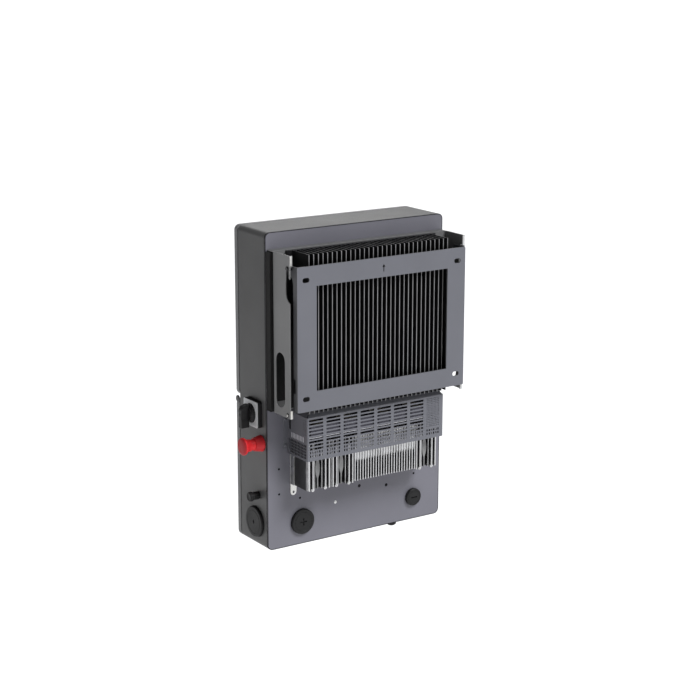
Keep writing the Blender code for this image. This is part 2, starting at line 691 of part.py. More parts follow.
def make_choke_cooler():
    """The finned block between the cans: its floor bulges towards the wall in its upper part."""
    left, right = COOLER_LOW_X, COOLER_HIGH_X
    fins = comb(left, right, behind(0.040), behind(0.0026), behind(CHOKE_REACH), COOLER_FINS, 0.0018)
    cooler = sheet("choke_cooler", [fins], "XY", CHOKE_LOW + 0.003, CHOKE_HIGH, "aluminium")
    bulge_low, depth = 0.194, 0.034
    bulge = [(behind(0.036), bulge_low)]
    steps = 3
    for step in range(steps + 1):
        angle = math.radians(90 * step / steps)
        bulge.append((behind(0.038) + depth * math.sin(angle), bulge_low + 0.024 * (1 - math.cos(angle))))
    bulge += [(behind(0.038) + depth, CHOKE_HIGH - INSET), (behind(0.036), CHOKE_HIGH - INSET)]
    join(cooler, sheet("cooler_bulge", [bulge], "YZ", left + 0.001, right - 0.001))


def make_choke_bracket():
    """The flat bracket behind the cans, with the mounting ear that shows below the +X can."""
    low, ear = CHOKE_LOW - 0.0005, 0.176
    outline = [(-0.184, low), (0.167, low), (0.168, 0.133)] + arc((ear, 0.133), 0.008, 180, 360, 8)
    outline += [(0.184, CHOKE_HIGH), (-0.184, CHOKE_HIGH)]
    hole = arc((ear, 0.133), 0.0028, 0, 330, 11)
    sheet("choke_bracket", [outline, hole], "XZ", behind(GAP), behind(0.0023), "zinc")


# ---------------------------------------------------------------- controls, glands and plugs


def make_disconnect():
    """The rotary DC disconnect: face plate, knob and shaft outside, switch block inside."""
    y, z = inside(SWITCH_DEPTH), SWITCH_HEIGHT
    half, seat, shaft = 0.0315, 0.024, 0.0040
    face = SIDE + GAP
    low, high = (face, y - half, z - half), (face + 0.0125, y + half, z + half)
    plate = box("disconnect_plate", low, high, "grey_plastic", 0.006, "X", 3)
    cut(plate, rod("plate_bore", (face - 0.003, y, z), "+X", 0.0062, 0.018))
    cut(plate, rod("plate_seat", (face + 0.0100, y, z), "+X", seat, 0.006, steps=24))
    hub = rod("disconnect_knob", (face + 0.0105, y, z), "+X", 0.0215, 0.0115, "black_plastic", 24)
    grip_half = 0.0070
    low, high = (face + 0.0190, y - grip_half, z - 0.0320), (face + 0.0400, y + grip_half, z + 0.0225)
    join(hub, box("knob_grip", low, high, None, 0.006, "X", 3))
    cut(hub, rod("knob_bore", (face + 0.0060, y, z), "+X", shaft + GAP, 0.0160))
    rod("disconnect_shaft", (SIDE - 0.0095, y, z), "+X", shaft, 0.0285, "steel")
    low, high = (0.165, y - 0.030, 0.3075), (SIDE - 0.0100, y + 0.030, 0.3400)
    box("disconnect_switch", low, high, "black_plastic", 0.002, "X", 2)


def make_stop_button():
    """The stop button: a collar through the side wall, and a mushroom head on a stem that slides."""
    depth = inside(STOP_DEPTH)
    base = (SIDE, depth, STOP_HEIGHT)
    bore, mouth, neck, rim, waist, flange, step = 0.0082, 0.0129, 0.0109, 0.0150, 0.0168, 0.0192, 0.0055
    collar = [
        (mouth, 0.0215),
        (rim - 0.0007, 0.0215),
        (rim, 0.0208),
        (waist, 0.0120),
        (flange, 0.0040),
        (flange, GAP),
        (neck, GAP),
        (neck, -0.0120),
        (bore, -0.0120),
        (bore, step),
        (mouth, step),
        (mouth, 0.0215),
    ]
    turned("stop_collar", base, "+X", collar, "red_plastic")
    clearance = 0.0004
    wide, narrow = mouth - clearance, bore - clearance
    rod_back, rod_front = -0.0165, 0.0290
    shoulder = step + STOP_TRAVEL + 0.001
    outer = [(0.0, rod_front), (wide, rod_front), (wide, shoulder)]
    profile = outer + [(narrow, shoulder), (narrow, rod_back), (0.0, rod_back)]
    turned("stop_stem", base, "+X", profile, "red_plastic")
    head = [
        (0.0, 0.0545),
        (0.0100, 0.0542),
        (0.0165, 0.0535),
        (0.0200, 0.0515),
        (0.0205, 0.0485),
        (0.0190, 0.0440),
        (0.0150, 0.0400),
        (0.0134, rod_front + GAP),
        (0.0, rod_front + GAP),
    ]
    turned("stop_head", base, "+X", head, "red_plastic")
    near = SIDE + rod_back - STOP_TRAVEL - 0.001
    low = (near - 0.022, depth - 0.019, STOP_HEIGHT - 0.020)
    high = (near, depth + 0.019, STOP_HEIGHT + 0.020)
    box("stop_contact_block", low, high, "black_plastic", 0.002, "X", 2)


def plug_profile(cap, height, neck):
    """A screw-in closing plug: a low domed cap outside and a threaded neck inside."""
    depth = 0.012
    return [
        (0.0, height),
        (cap * 0.80, height),
        (cap - 0.0015, height - 0.0012),
        (cap, height - 0.003),
        (cap, GAP),
        (neck, GAP),
        (neck, -depth),
        (0.0, -depth),
    ]


def make_plugs():
    y, z = inside(SIDE_PLUG_DEPTH), SIDE_PLUG_HEIGHT
    profile = plug_profile(0.0375, 0.0075, 0.0335)
    plug = turned("side_plug", (SIDE, y, z), "+X", profile, "black_plastic", 24)
    cut(plug, rod("side_plug_mark", (SIDE + 0.0060, y, z), "+X", 0.0045, 0.005, steps=12))
    rear = (("large", LARGE_PLUG, 0.031, 0.0270, True), ("small", SMALL_PLUG, 0.022, 0.0190, False))
    thick, floor, out = 0.0017, behind(0.0068), behind(0.012)
    for name, (x, z), cap, neck, cross in rear:
        profile = plug_profile(cap, 0.0085, neck)
        plug = turned(f"rear_plug_{name}", (x, inside(0), z), "+Y", profile, "black_plastic", 24)
        arm = cap * 0.42
        cut(plug, box(f"{name}_slot", (x - arm, floor, z - thick), (x + arm, out, z + thick)))
        if cross:
            cut(plug, box(f"{name}_cross", (x - thick, floor, z - arm), (x + thick, out, z + arm)))


def make_glands():
    vent = [
        (0.0, 0.0270),
        (0.0100, 0.0270),
        (0.0115, 0.0255),
        (0.0115, 0.0170),
        (0.0090, 0.0160),
        (0.0090, GAP),
        (0.0075, GAP),
        (0.0075, -0.0120),
        (0.0, -0.0120),
    ]
    place = (SIDE, inside(VENT_DEPTH), VENT_HEIGHT)
    turned("vent_gland", place, "+X", vent, "black_plastic", 16)
    gland = [
        (0.0, 0.0220),
        (0.0060, 0.0215),
        (0.0105, 0.0185),
        (0.0125, 0.0130),
        (0.0125, GAP),
        (0.0100, GAP),
        (0.0100, -0.0140),
        (0.0, -0.0140),
    ]
    depth = inside(UNDERSIDE_DEPTH)
    turned("bottom_gland", (GLAND_X, depth, 0.0), "-Z", gland, "black_plastic", 16)
    drain = [
        (0.0, 0.0115),
        (0.0150, 0.0115),
        (0.0180, 0.0095),
        (0.0180, GAP),
        (0.0150, GAP),
        (0.0150, -0.0100),
        (0.0, -0.0100),
    ]
    turned("bottom_plug", (DRAIN_X, depth, 0.0), "-Z", drain, "black_plastic", 16)


# ---------------------------------------------------------------- inside the two compartments


def make_power_stage():
    """The upper compartment: power modules on the heat sink, the boards and the capacitors."""
    seat = behind(SINK_FRONT - GAP)
    for number, x in enumerate((0.125, 0.0, -0.125), 1):
        low, high = (x - 0.031, inside(0.0150), 0.47), (x + 0.031, seat, 0.58)
        box(f"power_module_{number}", low, high, "grey_plastic", 0.003, "Y", 2)
    box("power_board", (-0.205, inside(0.0220), 0.385), (0.205, inside(0.0202), 0.705), "board")
    low, high = (-0.170, inside(0.0245), 0.600), (0.170, inside(0.0223), 0.695)
    carrier = box("dc_link_capacitors", low, high, "black_plastic")
    pitch, radius = 0.068, 0.0175
    for row, z in enumerate((0.624, 0.670)):
        for column in range(5):
            place = ((column - 2) * pitch, inside(0.0235), z)
            join(carrier, rod(f"capacitor_{row}_{column}", place, "-Y", radius, 0.052, steps=12))
    low, high = (-0.205, inside(0.0700), 0.372), (0.050, inside(0.0320), 0.455)
    box("ac_filter_board", low, high, "orange_plastic", 0.004, "Y", 2)
    box("control_board", (-0.120, inside(0.1180), 0.375), (0.120, inside(0.1164), 0.560), "board")


def terminal_block(name, low, high, poles, paint):
    """A row of terminals with a wire entry under each pole."""
    block = box(name, low, high, paint, 0.002, "X", 2)
    pitch = (high[0] - low[0]) / poles
    for pole in range(poles):
        x = low[0] + (pole + 0.5) * pitch
        place = (x, (low[1] + high[1]) / 2, low[2] - 0.002)
        cut(block, rod(f"{name}_entry_{pole}", place, "+Z", pitch * 0.30, 0.016, steps=8))


def make_wiring_bay():
    """The lower compartment: terminals, surge protector, earth bar and the comms board."""
    back = inside(SHEET + GAP)
    low, high = (0.010, inside(0.050), 0.215), (0.140, back, 0.262)
    terminal_block("dc_terminals", low, high, 6, "grey_plastic")
    low, high = (-0.215, inside(0.058), 0.205), (-0.060, back, 0.262)
    terminal_block("ac_terminals", low, high, 5, "black_plastic")
    low, high = (-0.045, inside(0.062), 0.190), (-0.005, back, 0.275)
    box("surge_protector", low, high, "orange_plastic", 0.003, "X", 2)
    box("comms_board", (-0.220, inside(0.0185), 0.098), (-0.120, inside(0.0169), 0.178), "board")
    middle, half = 0.037, 0.007
    low, high = (-0.080, inside(0.016), middle - half), (0.080, inside(0.012), middle + half)
    bar = box("earth_bar", low, high, "copper")
    for number, x in enumerate((-0.070, 0.070), 1):
        low, high = (x - 0.006, inside(0.0125), middle - 0.006), (x + 0.006, back, middle + 0.006)
        join(bar, box(f"earth_post_{number}", low, high))
    pitch = 0.020
    for number in range(6):
        place = ((number - 2.5) * pitch, inside(0.020), middle)
        cut(bar, rod(f"earth_hole_{number}", place, "+Y", 0.0026, 0.012, steps=8))


def lower_to_datum():
    """Moves the finished object down, so that the wall mount is at the origin."""
    for made in list(PARTS.objects) + list(CUTTERS.objects):
        made.matrix_world = Matrix.Translation((0, 0, -DATUM)) @ made.matrix_world


def main():
    for old in list(bpy.data.objects):
        bpy.data.objects.remove(old, do_unlink=True)
    for collection in (PARTS, CUTTERS):
        bpy.context.scene.collection.children.link(collection)
    make_wall_plate()
    make_chassis()
    make_partition()
    make_covers()
    make_channel()
    make_heat_sink()
    make_guard()
    make_fan_tray()
    for x, number in fan_places():
        make_fan(x, number)
    for number, centre in enumerate(CAN_CENTRES, 1):
        make_choke_can(f"choke_can_{number}", centre)
    make_choke_cooler()
    make_choke_bracket()
    make_disconnect()
    make_stop_button()
    make_plugs()
    make_glands()
    make_power_stage()
    make_wiring_bay()
    lower_to_datum()


main()
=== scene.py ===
"""Looks of a wall-hung string inverter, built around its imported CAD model.

Everything is in metres in the model's own frame: the wall is the plane y = 0, the case is towards -Y,
+Z is up and +X is the side with the controls. The chassis's underside is at UNDERSIDE.
"""

import json
import math

import bmesh
import bpy
from mathutils import Matrix, Vector


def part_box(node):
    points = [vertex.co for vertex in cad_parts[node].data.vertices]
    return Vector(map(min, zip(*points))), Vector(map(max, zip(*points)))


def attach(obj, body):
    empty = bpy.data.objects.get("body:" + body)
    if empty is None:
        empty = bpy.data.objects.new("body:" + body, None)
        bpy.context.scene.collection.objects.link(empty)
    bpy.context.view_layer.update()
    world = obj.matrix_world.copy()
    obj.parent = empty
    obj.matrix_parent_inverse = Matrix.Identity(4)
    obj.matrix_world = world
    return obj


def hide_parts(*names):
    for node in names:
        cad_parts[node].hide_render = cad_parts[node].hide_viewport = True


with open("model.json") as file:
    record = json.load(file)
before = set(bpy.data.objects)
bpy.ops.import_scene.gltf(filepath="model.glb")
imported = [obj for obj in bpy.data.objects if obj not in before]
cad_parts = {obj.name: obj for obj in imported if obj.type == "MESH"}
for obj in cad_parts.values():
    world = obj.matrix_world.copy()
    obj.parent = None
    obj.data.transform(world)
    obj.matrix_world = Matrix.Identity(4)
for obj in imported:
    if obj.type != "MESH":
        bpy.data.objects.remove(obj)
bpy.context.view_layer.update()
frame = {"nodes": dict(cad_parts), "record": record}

CHASSIS_LOW, CHASSIS_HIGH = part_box("chassis")
UNDERSIDE = CHASSIS_LOW.z
BACK = CHASSIS_HIGH.y
SIDE = CHASSIS_HIGH.x
GAP = 0.0003

# ---------------------------------------------------------------- material nodes


class Finish:
    """A procedural material: a Principled shader and short calls that add nodes in front of it."""

    def __init__(self, name, roughness, metallic=0.0, specular=0.5, coat=0.0):
        self.material = bpy.data.materials.new(name)
        self.material.use_nodes = True
        self.tree = self.material.node_tree
        self.shader = self.tree.nodes["Principled BSDF"]
        self.shader.inputs["Roughness"].default_value = roughness
        self.shader.inputs["Metallic"].default_value = metallic
        self.shader.inputs["Specular IOR Level"].default_value = specular
        self.shader.inputs["Coat Weight"].default_value = coat
        self.place = self.add("ShaderNodeTexCoord").outputs["Object"]

    def add(self, kind, links=None, **values):
        """A node with some inputs set or linked by name, and some of its own properties set."""
        node = self.tree.nodes.new(kind)
        for key, value in values.items():
            setattr(node, key, value)
        for key, value in (links or {}).items():
            self.feed(node.inputs[key], value)
        return node

    def feed(self, socket, value):
        if isinstance(value, bpy.types.NodeSocket):
            self.tree.links.new(value, socket)
        elif isinstance(value, tuple) and len(value) == 3 and socket.type == "RGBA":
            socket.default_value = (*value, 1.0)
        else:
            socket.default_value = value

    def stretched(self, x=1.0, y=1.0, z=1.0):
        """Object coordinates squeezed along an axis, so that a texture runs out along the others."""
        return self.add("ShaderNodeMapping", {"Vector": self.place, "Scale": (x, y, z)}).outputs["Vector"]

    def noise(self, scale, detail=2.0, vector=None):
        links = {"Vector": vector or self.place, "Scale": scale, "Detail": detail}
        return self.add("ShaderNodeTexNoise", links).outputs["Fac"]

    def cells(self, scale, output="Distance"):
        return self.add("ShaderNodeTexVoronoi", {"Vector": self.place, "Scale": scale}).outputs[output]

    def between(self, value, low, high, start=0.3, end=0.7):
        """Takes value from start..end to low..high, and holds it there outside."""
        links = {"Value": value, "From Min": start, "From Max": end, "To Min": low, "To Max": high}
        return self.add("ShaderNodeMapRange", links).outputs["Result"]

    def sum(self, first, second, operation="ADD"):
        node = self.add("ShaderNodeMath", operation=operation)
        self.feed(node.inputs[0], first)
        self.feed(node.inputs[1], second)
        return node.outputs["Value"]

    def colours(self, amount, first, second):
        node = self.add("ShaderNodeMix", data_type="RGBA")
        self.feed(node.inputs["Factor"], amount)
        self.feed(node.inputs[6], first)
        self.feed(node.inputs[7], second)
        return node.outputs[2]

    def axis(self, name):
        return self.add("ShaderNodeSeparateXYZ", {"Vector": self.place}).outputs[name]

    def facing(self, name):
        """How far the surface faces along an object axis."""
        normal = self.add("ShaderNodeTexCoord").outputs["Normal"]
        return self.add("ShaderNodeSeparateXYZ", {"Vector": normal}).outputs[name]

    def bumps(self, *layers):
        """Surface relief from (height socket, depth in metres) pairs. Gives back the finished material."""
        normal = None
        for height, depth in layers:
            links = {"Height": height, "Distance": depth, "Strength": 1.0}
            if normal is not None:
                links["Normal"] = normal
            normal = self.add("ShaderNodeBump", links).outputs["Normal"]
        self.feed(self.shader.inputs["Normal"], normal)
        return self.material

    def tint(self, amount, colour, dark, light, start=0.3, end=0.7):
        """A colour that runs between two shades of itself."""
        mix = self.between(amount, 0.0, 1.0, start, end)
        return self.colours(mix, shade(colour, dark), shade(colour, light))

    def colour(self, value):
        self.feed(self.shader.inputs["Base Color"], value)

    def rough(self, grain, low, high, cloud=None, less=0.0, more=0.0, start=0.3, end=0.7):
        """Roughness from a fine grain, shifted a little by slow clouds."""
        value = self.between(grain, low, high, start, end)
        if cloud:
            value = self.sum(value, self.between(cloud, less, more))
        self.feed(self.shader.inputs["Roughness"], value)


def shade(colour, factor):
    """A colour made lighter or darker."""
    return tuple(min(1.0, channel * factor) for channel in colour)


def edge_highlight_and_wear(finish, base, pale_tone, radius):
    """Lightens sharp edges: partly a painted highlight, where edges catch the light, and partly wear, where a
    coating is thin; unevenly, and only a little way in.
    """
    bevel = finish.add("ShaderNodeBevel", {"Radius": radius}, samples=4).outputs["Normal"]
    flat = finish.add("ShaderNodeNewGeometry").outputs["Normal"]
    dot = finish.add("ShaderNodeVectorMath", operation="DOT_PRODUCT")
    finish.feed(dot.inputs[0], bevel)
    finish.feed(dot.inputs[1], flat)
    # The lighter edge colour is partly painted highlight and partly wear.
    edge = finish.between(dot.outputs["Value"], 1.0, 0.0, 0.8, 0.985)
    broken = finish.between(finish.noise(260.0, 4.0), 0.25, 1.0, 0.35, 0.6)
    return finish.colours(finish.sum(edge, broken, "MULTIPLY"), base, pale_tone)


def powder_coat(name, colour, rear=None):
    """Fine-texture powder coat: small soft pimples, faint clouding, lighter edges, and painted shade that
    darkens the faces turned upwards.

    With a rear colour, the faces that look towards the wall take that colour: painted light, the bluish tone
    that the light from behind gives those faces.
    """
    finish = Finish(name, 0.48, specular=0.35)
    pimples = finish.noise(1100.0)
    cloud = finish.noise(7.0, 4.0)
    speck = finish.noise(2530.0, 1.0)
    base = colour
    if rear:
        # Painted light: faces turned towards the wall take the bluish rear colour of the light from behind.
        base = finish.colours(finish.between(finish.facing("Y"), 0.0, 1.0, 0.5, 0.8), colour, rear)
    # Painted shade: faces turned upwards are darkened, in uneven patches.
    painted_top_shade = finish.between(finish.facing("Z"), 0.0, 1.0, 0.55, 0.9)
    painted_top_shade = finish.sum(painted_top_shade, finish.between(finish.noise(24.0, 4.0), 0.75, 1.0), "MULTIPLY")
    base = finish.colours(painted_top_shade, base, shade(colour, 0.62))
    tone = finish.colours(finish.between(cloud, 0.0, 0.1), base, (0.0, 0.0, 0.0))
    tone = finish.colours(finish.between(speck, 0.0, 0.06, 0.52, 0.75), tone, (0.5, 0.5, 0.5))
    # Lighter edges: partly painted highlight, partly wear.
    finish.colour(edge_highlight_and_wear(finish, tone, shade(colour, 2.2), 0.0007))
    finish.rough(pimples, 0.4, 0.53, cloud, -0.03, 0.05)
    return finish.bumps((finish.noise(38.0), 0.00012), (pimples, 0.00005))


def anodised(name, colour, tip):
    """Black anodised extrusion: fine lines along its length, with tips painted a paler grey as the highlight
    they catch.
    """
    finish = Finish(name, 0.42, 0.25)
    lines = finish.noise(900.0, 2.0, finish.stretched(z=0.01))
    smudge = finish.noise(22.0, 3.0)
    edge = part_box(name)[1].y
    # Painted highlight: the fin tips, the last fraction of a millimetre towards the wall, take the pale tip
    # colour.
    pale_tone = finish.between(finish.axis("Y"), 0.0, 1.0, edge - 0.0005, edge - 0.0002)
    pale_tone = finish.sum(pale_tone, finish.between(smudge, 0.75, 1.0), "MULTIPLY")
    finish.colour(finish.colours(pale_tone, finish.tint(lines, colour, 0.8, 1.5), tip))
    finish.rough(lines, 0.36, 0.48, smudge, -0.04, 0.06)
    return finish.bumps((lines, 0.00004))


def cast_metal(name, colour):
    """Blasted die-cast aluminium: a fine satin grain with cloudy tone."""
    finish = Finish(name, 0.36, 1.0)
    grain = finish.noise(1500.0)
    cloud = finish.noise(45.0, 3.0)
    finish.colour(finish.tint(cloud, colour, 0.86, 1.06))
    finish.rough(grain, 0.31, 0.43, cloud, -0.04, 0.04)
    return finish.bumps((grain, 0.000035))


def ribbed_metal(name, colour, cast_skin_and_shade, dark_depth, bright):
    """Cast ribs with bright noses that turn darker short of a depth: painted shade in the gaps between the
    ribs, together with any darker cast skin.
    """
    finish = Finish(name, 0.34, 1.0)
    grain = finish.noise(1500.0)
    cloud = finish.noise(45.0, 3.0)
    flow = finish.noise(160.0, 2.0, finish.stretched(z=0.08))
    # Painted shade: short of a depth the colour darkens, in the gaps between the ribs.
    height = finish.sum(finish.axis("Y"), finish.between(cloud, -0.0015, 0.0015))
    nose = finish.between(height, 0.0, 1.0, BACK + dark_depth, BACK + bright)
    finish.colour(finish.colours(nose, shade(colour, cast_skin_and_shade), finish.tint(flow, colour, 0.86, 1.04)))
    finish.rough(grain, 0.29, 0.41, nose, 0.12, 0.0)
    return finish.bumps((flow, 0.00004), (grain, 0.000035))


def zinc_plate(name, colour):
    """Bright zinc on sheet steel: a faint spangle under a cloudy, slightly warm passivation."""
    finish = Finish(name, 0.34, 1.0)
    spangle = finish.cells(120.0, "Color")
    grey = finish.add("ShaderNodeRGBToBW", {"Color": spangle}).outputs["Val"]
    cloud = finish.noise(26.0, 3.0)
    tone = finish.tint(grey, colour, 0.88, 1.05, 0.2, 0.8)
    warm = (colour[0] * 1.02, colour[1] * 0.97, colour[2] * 0.84)
    finish.colour(finish.colours(finish.between(cloud, 0.0, 0.5, 0.4, 0.75), tone, warm))
    finish.rough(grey, 0.28, 0.42, cloud, -0.03, 0.05, 0.2, 0.8)
    return finish.bumps((finish.noise(700.0), 0.00002))


def turned_steel(name, colour):
    """Bright steel with a fine turned grain and handling marks."""
    finish = Finish(name, 0.25, 1.0)
    rings = finish.noise(2400.0, 1.0)
    finish.colour(finish.tint(finish.noise(60.0, 3.0), colour, 0.82, 1.1))
    finish.rough(rings, 0.2, 0.36)
    return finish.bumps((rings, 0.00001))


def moulding(name, colour, rough=0.45, grain=1400.0, depth=0.00003, clouds=0.12, specular=0.5):
    """Moulded plastic: a fine spark-eroded grain, with slight unevenness in tone and gloss."""
    finish = Finish(name, rough, specular=specular)
    pits = finish.noise(grain)
    cloud = finish.noise(28.0, 3.0)
    tone = finish.tint(cloud, colour, 1 - clouds, 1 + clouds)
    # Lighter edges: partly painted highlight, partly wear.
    finish.colour(edge_highlight_and_wear(finish, tone, shade(colour, 1.7), 0.0004))
    finish.rough(pits, rough - 0.05, rough + 0.07, cloud, -0.04, 0.04)
    return finish.bumps((pits, depth))


def foam_rubber(name, colour):
    """Closed-cell foam: small pores with dark bottoms."""
    finish = Finish(name, 0.85, specular=0.3)
    pores = finish.cells(1500.0)
    finish.colour(finish.tint(pores, colour, 0.5, 1.8, 0.1, 0.6))
    finish.rough(pores, 0.92, 0.78, start=0.1, end=0.6)
    return finish.bumps((pores, 0.0002))


def circuit_board(name, colour):
    """Green solder mask over copper tracks, with pale pads in a grid."""
    finish = Finish(name, 0.36, coat=0.2)
    upright = finish.add("ShaderNodeMapping", {"Vector": finish.place, "Rotation": (math.pi / 2, 0, 0)})
    black, white = (0, 0, 0), (1, 1, 1)
    links = {"Vector": upright.outputs[0], "Scale": 48.0, "Mortar Size": 0.06, "Mortar Smooth": 0.1}
    links.update({"Bias": 0.0, "Brick Width": 0.9, "Row Height": 0.21})
    links.update({"Color1": black, "Color2": black, "Mortar": white})
    brick = finish.add("ShaderNodeTexBrick", links, offset=0.37)
    tracks = finish.between(brick.outputs["Fac"], 0.0, 0.55, 0.4, 0.6)
    pads = finish.between(finish.cells(420.0), 1.0, 0.0, 0.1, 0.14)
    chosen = finish.between(finish.noise(55.0, 1.0), 0.0, 1.0, 0.56, 0.58)
    tone = finish.colours(tracks, shade(colour, 0.85), (colour[0] * 2.2, colour[1] * 1.5, colour[2] * 1.6))
    finish.colour(finish.colours(finish.sum(pads, chosen, "MULTIPLY"), tone, (0.62, 0.58, 0.5)))
    finish.rough(finish.noise(300.0), 0.3, 0.44)
    return finish.bumps((tracks, 0.00003), (finish.noise(900.0), 0.00001))


def copper_bar(name, colour):
    """Drawn copper: fine lines along the bar, and darker tarnish in patches."""
    finish = Finish(name, 0.32, 1.0)
    lines = finish.noise(1200.0, 2.0, finish.stretched(x=0.02))
    tarnish = finish.noise(40.0, 4.0)
    finish.colour(finish.tint(tarnish, colour, 1.0, 0.45, 0.45, 0.75))
    finish.rough(lines, 0.24, 0.4, tarnish, -0.03, 0.1)
    return finish.bumps((lines, 0.00002))


def smoked_lens(name, colour):
    """Smoked clear plastic with a slight smear."""
    finish = Finish(name, 0.08, specular=0.6)
    smear = finish.noise(70.0, 4.0)
    finish.colour(finish.tint(smear, colour, 0.7, 1.2))
    finish.rough(smear, 0.05, 0.16)
    return finish.bumps((finish.noise(400.0), 0.000004))


COLOURS = {entry["slot"]: tuple(entry["base_color"][:3]) for entry in frame["record"]["materials"]}
SMOOTH_MOULD = (1100.0, 0.00001, 0.05, 0.3)
FINISHES = {
    # Painted light: the rear colours below are the bluish tone that faces turned towards the wall take from
    # the light behind.
    "paint": powder_coat("paint", (0.09, 0.09, 0.09), rear=(0.172, 0.17, 0.198)),
    "paint_back": powder_coat("paint_back", (0.125, 0.125, 0.142), rear=(0.148, 0.151, 0.172)),
    # Painted highlight: the heat sink's pale tip colour stands for the light its fin tips catch.
    "black_metal": anodised("heat_sink", COLOURS["black_metal"], (0.3, 0.3, 0.305)),
    "aluminium": cast_metal("aluminium", (0.74, 0.74, 0.745)),
    "zinc": zinc_plate("zinc", (0.66, 0.665, 0.67)),
    "steel": turned_steel("steel", (0.66, 0.66, 0.67)),
    "black_plastic": moulding("black_plastic", (0.0085, 0.0085, 0.009), 0.5, specular=0.3),
    "rubber": foam_rubber("rubber", COLOURS["rubber"]),
    "grey_plastic": moulding("grey_plastic", COLOURS["grey_plastic"], 0.38, clouds=0.04),
    "red_plastic": moulding("red_plastic", (0.78, 0.024, 0.03), 0.48, *SMOOTH_MOULD),
    "board": circuit_board("board", COLOURS["board"]),
    "lens": smoked_lens("lens", COLOURS["lens"]),
    "orange_plastic": moulding("orange_plastic", COLOURS["orange_plastic"], 0.42, clouds=0.05),
    "copper": copper_bar("copper", COLOURS["copper"]),
    "dark_steel": turned_steel("dark_steel", (0.045, 0.045, 0.047)),
}
# Painted shade: the cans and the cooler darken between their ribs; on the cans this also stands for their dark
# cast skin.
CAN_FINISH = ribbed_metal("can_metal", (0.66, 0.66, 0.665), 0.12, 0.064, 0.0735)
COOLER_FINISH = ribbed_metal("cooler_metal", (0.74, 0.74, 0.745), 0.05, 0.07, 0.0745)
BULGE_FINISH = cast_metal("bulge_metal", (0.7, 0.7, 0.705))
COLLAR_FINISH = moulding("collar_plastic", (0.56, 0.019, 0.025), 0.5, *SMOOTH_MOULD)
# Painted highlight: the covers take a lighter copy of the case's dark paint, for the light that their rounded
# rims catch.
COVER_HIGHLIGHT_FINISH = powder_coat("cover_paint_highlight", (0.185, 0.185, 0.187))
# Painted shade: the stop button's face is a darker copy of its red, for the shade on the side turned away from
# the light.
SHADED_FACE_FINISH = moulding("face_plastic_shade", (0.42, 0.016, 0.021), 0.5, *SMOOTH_MOULD)
# Painted light: the fan frames are a lighter, lavender grey so that they look lit inside the shaded guard,
# with the tint of the light from behind.
LIT_FRAME_FINISH = moulding("fan_plastic_lit", (0.105, 0.102, 0.13), 0.5, clouds=0.06)
SEAM_FINISH = moulding("seam_sealant", (0.0035, 0.0035, 0.0045), 0.7, clouds=0.2, specular=0.12)
BLADE_FINISH = moulding("blade_plastic", (0.74, 0.7, 0.58), 0.45, clouds=0.05)
# Painted light: a pale paint for the parts inside the fan guard, standing in for the light that comes in
# through its slots.
INNER_LIGHT_FINISH = powder_coat("inner_painted_light", (0.62, 0.62, 0.66))
NODE_FINISHES = {
    # Painted light: the plate's rear colour is the bluish tone of its faces lit from behind.
    "wall_plate": powder_coat("plate_paint", (0.08, 0.081, 0.086), rear=(0.148, 0.151, 0.172)),
    # Painted light: the fan tray takes the pale paint of the guard's inside.
    "fan_tray": INNER_LIGHT_FINISH,
    "upper_cover_gasket": SEAM_FINISH,
    "lower_cover_gasket": SEAM_FINISH,
    **{f"fan_frame_{number}": LIT_FRAME_FINISH for number in range(1, 5)},
    "rear_channel": powder_coat("channel_paint", (0.2, 0.2, 0.201)),
    "upper_cover": COVER_HIGHLIGHT_FINISH,
    "lower_cover": COVER_HIGHLIGHT_FINISH,
}

# ---------------------------------------------------------------- mesh helpers


def up(height):
    """The z of a point this far above the chassis's underside."""
    return UNDERSIDE + height


def behind(depth):
    """The y of a point this far behind the chassis's back face, towards the wall."""
    return BACK + depth


def inside(depth):
    """The y of a point this deep in the chassis, from its back face."""
    return BACK - depth


def turn_to(axis):
    """The rotation that takes local +Z to an axis such as '+X' or '-Y'."""
    goal = Vector((0.0, 0.0, 0.0))
    goal["XYZ".index(axis[1])] = -1.0 if axis[0] == "-" else 1.0
    return goal.to_track_quat("Z", "Y").to_matrix().to_4x4()


def block(bm, low, high):
    """Adds a box between two opposite corners."""
    low, high = Vector(low), Vector(high)
    place = Matrix.Translation((low + high) / 2) @ Matrix.Diagonal((*(high - low), 1.0))
    bmesh.ops.create_cube(bm, size=1.0, matrix=place)


def twin_blocks(bm, low, high):
    """Adds a box on the +X side and its mirror image on the -X side."""
    block(bm, low, high)
    block(bm, (-high[0], *low[1:]), (-low[0], *high[1:]))


def prism(bm, outline, plane, low, high):
    """Adds an outline, given in a plane, drawn out between two distances along its normal."""
    order = {"XY": (0, 1, 2), "XZ": (0, 2, 1), "YZ": (2, 0, 1)}[plane]
    near, far = ([bm.verts.new([(u, v, w)[i] for i in order]) for u, v in outline] for w in (low, high))
    bm.faces.new(near)
    bm.faces.new(far[::-1])
    for i in range(len(near)):
        bm.faces.new((near[i - 1], near[i], far[i], far[i - 1]))


def tube(bm, outer, inner, front, back):
    """Adds the ring between two matching outlines, drawn out between two values of y."""
    loops = ((outer, front), (outer, back), (inner, back), (inner, front))
    rings = [[bm.verts.new((x, y, z)) for x, z in loop] for loop, y in loops]
    for first, second in zip(rings, rings[1:] + rings[:1]):
        for i in range(len(first)):
            bm.faces.new((first[i - 1], first[i], second[i], second[i - 1]))


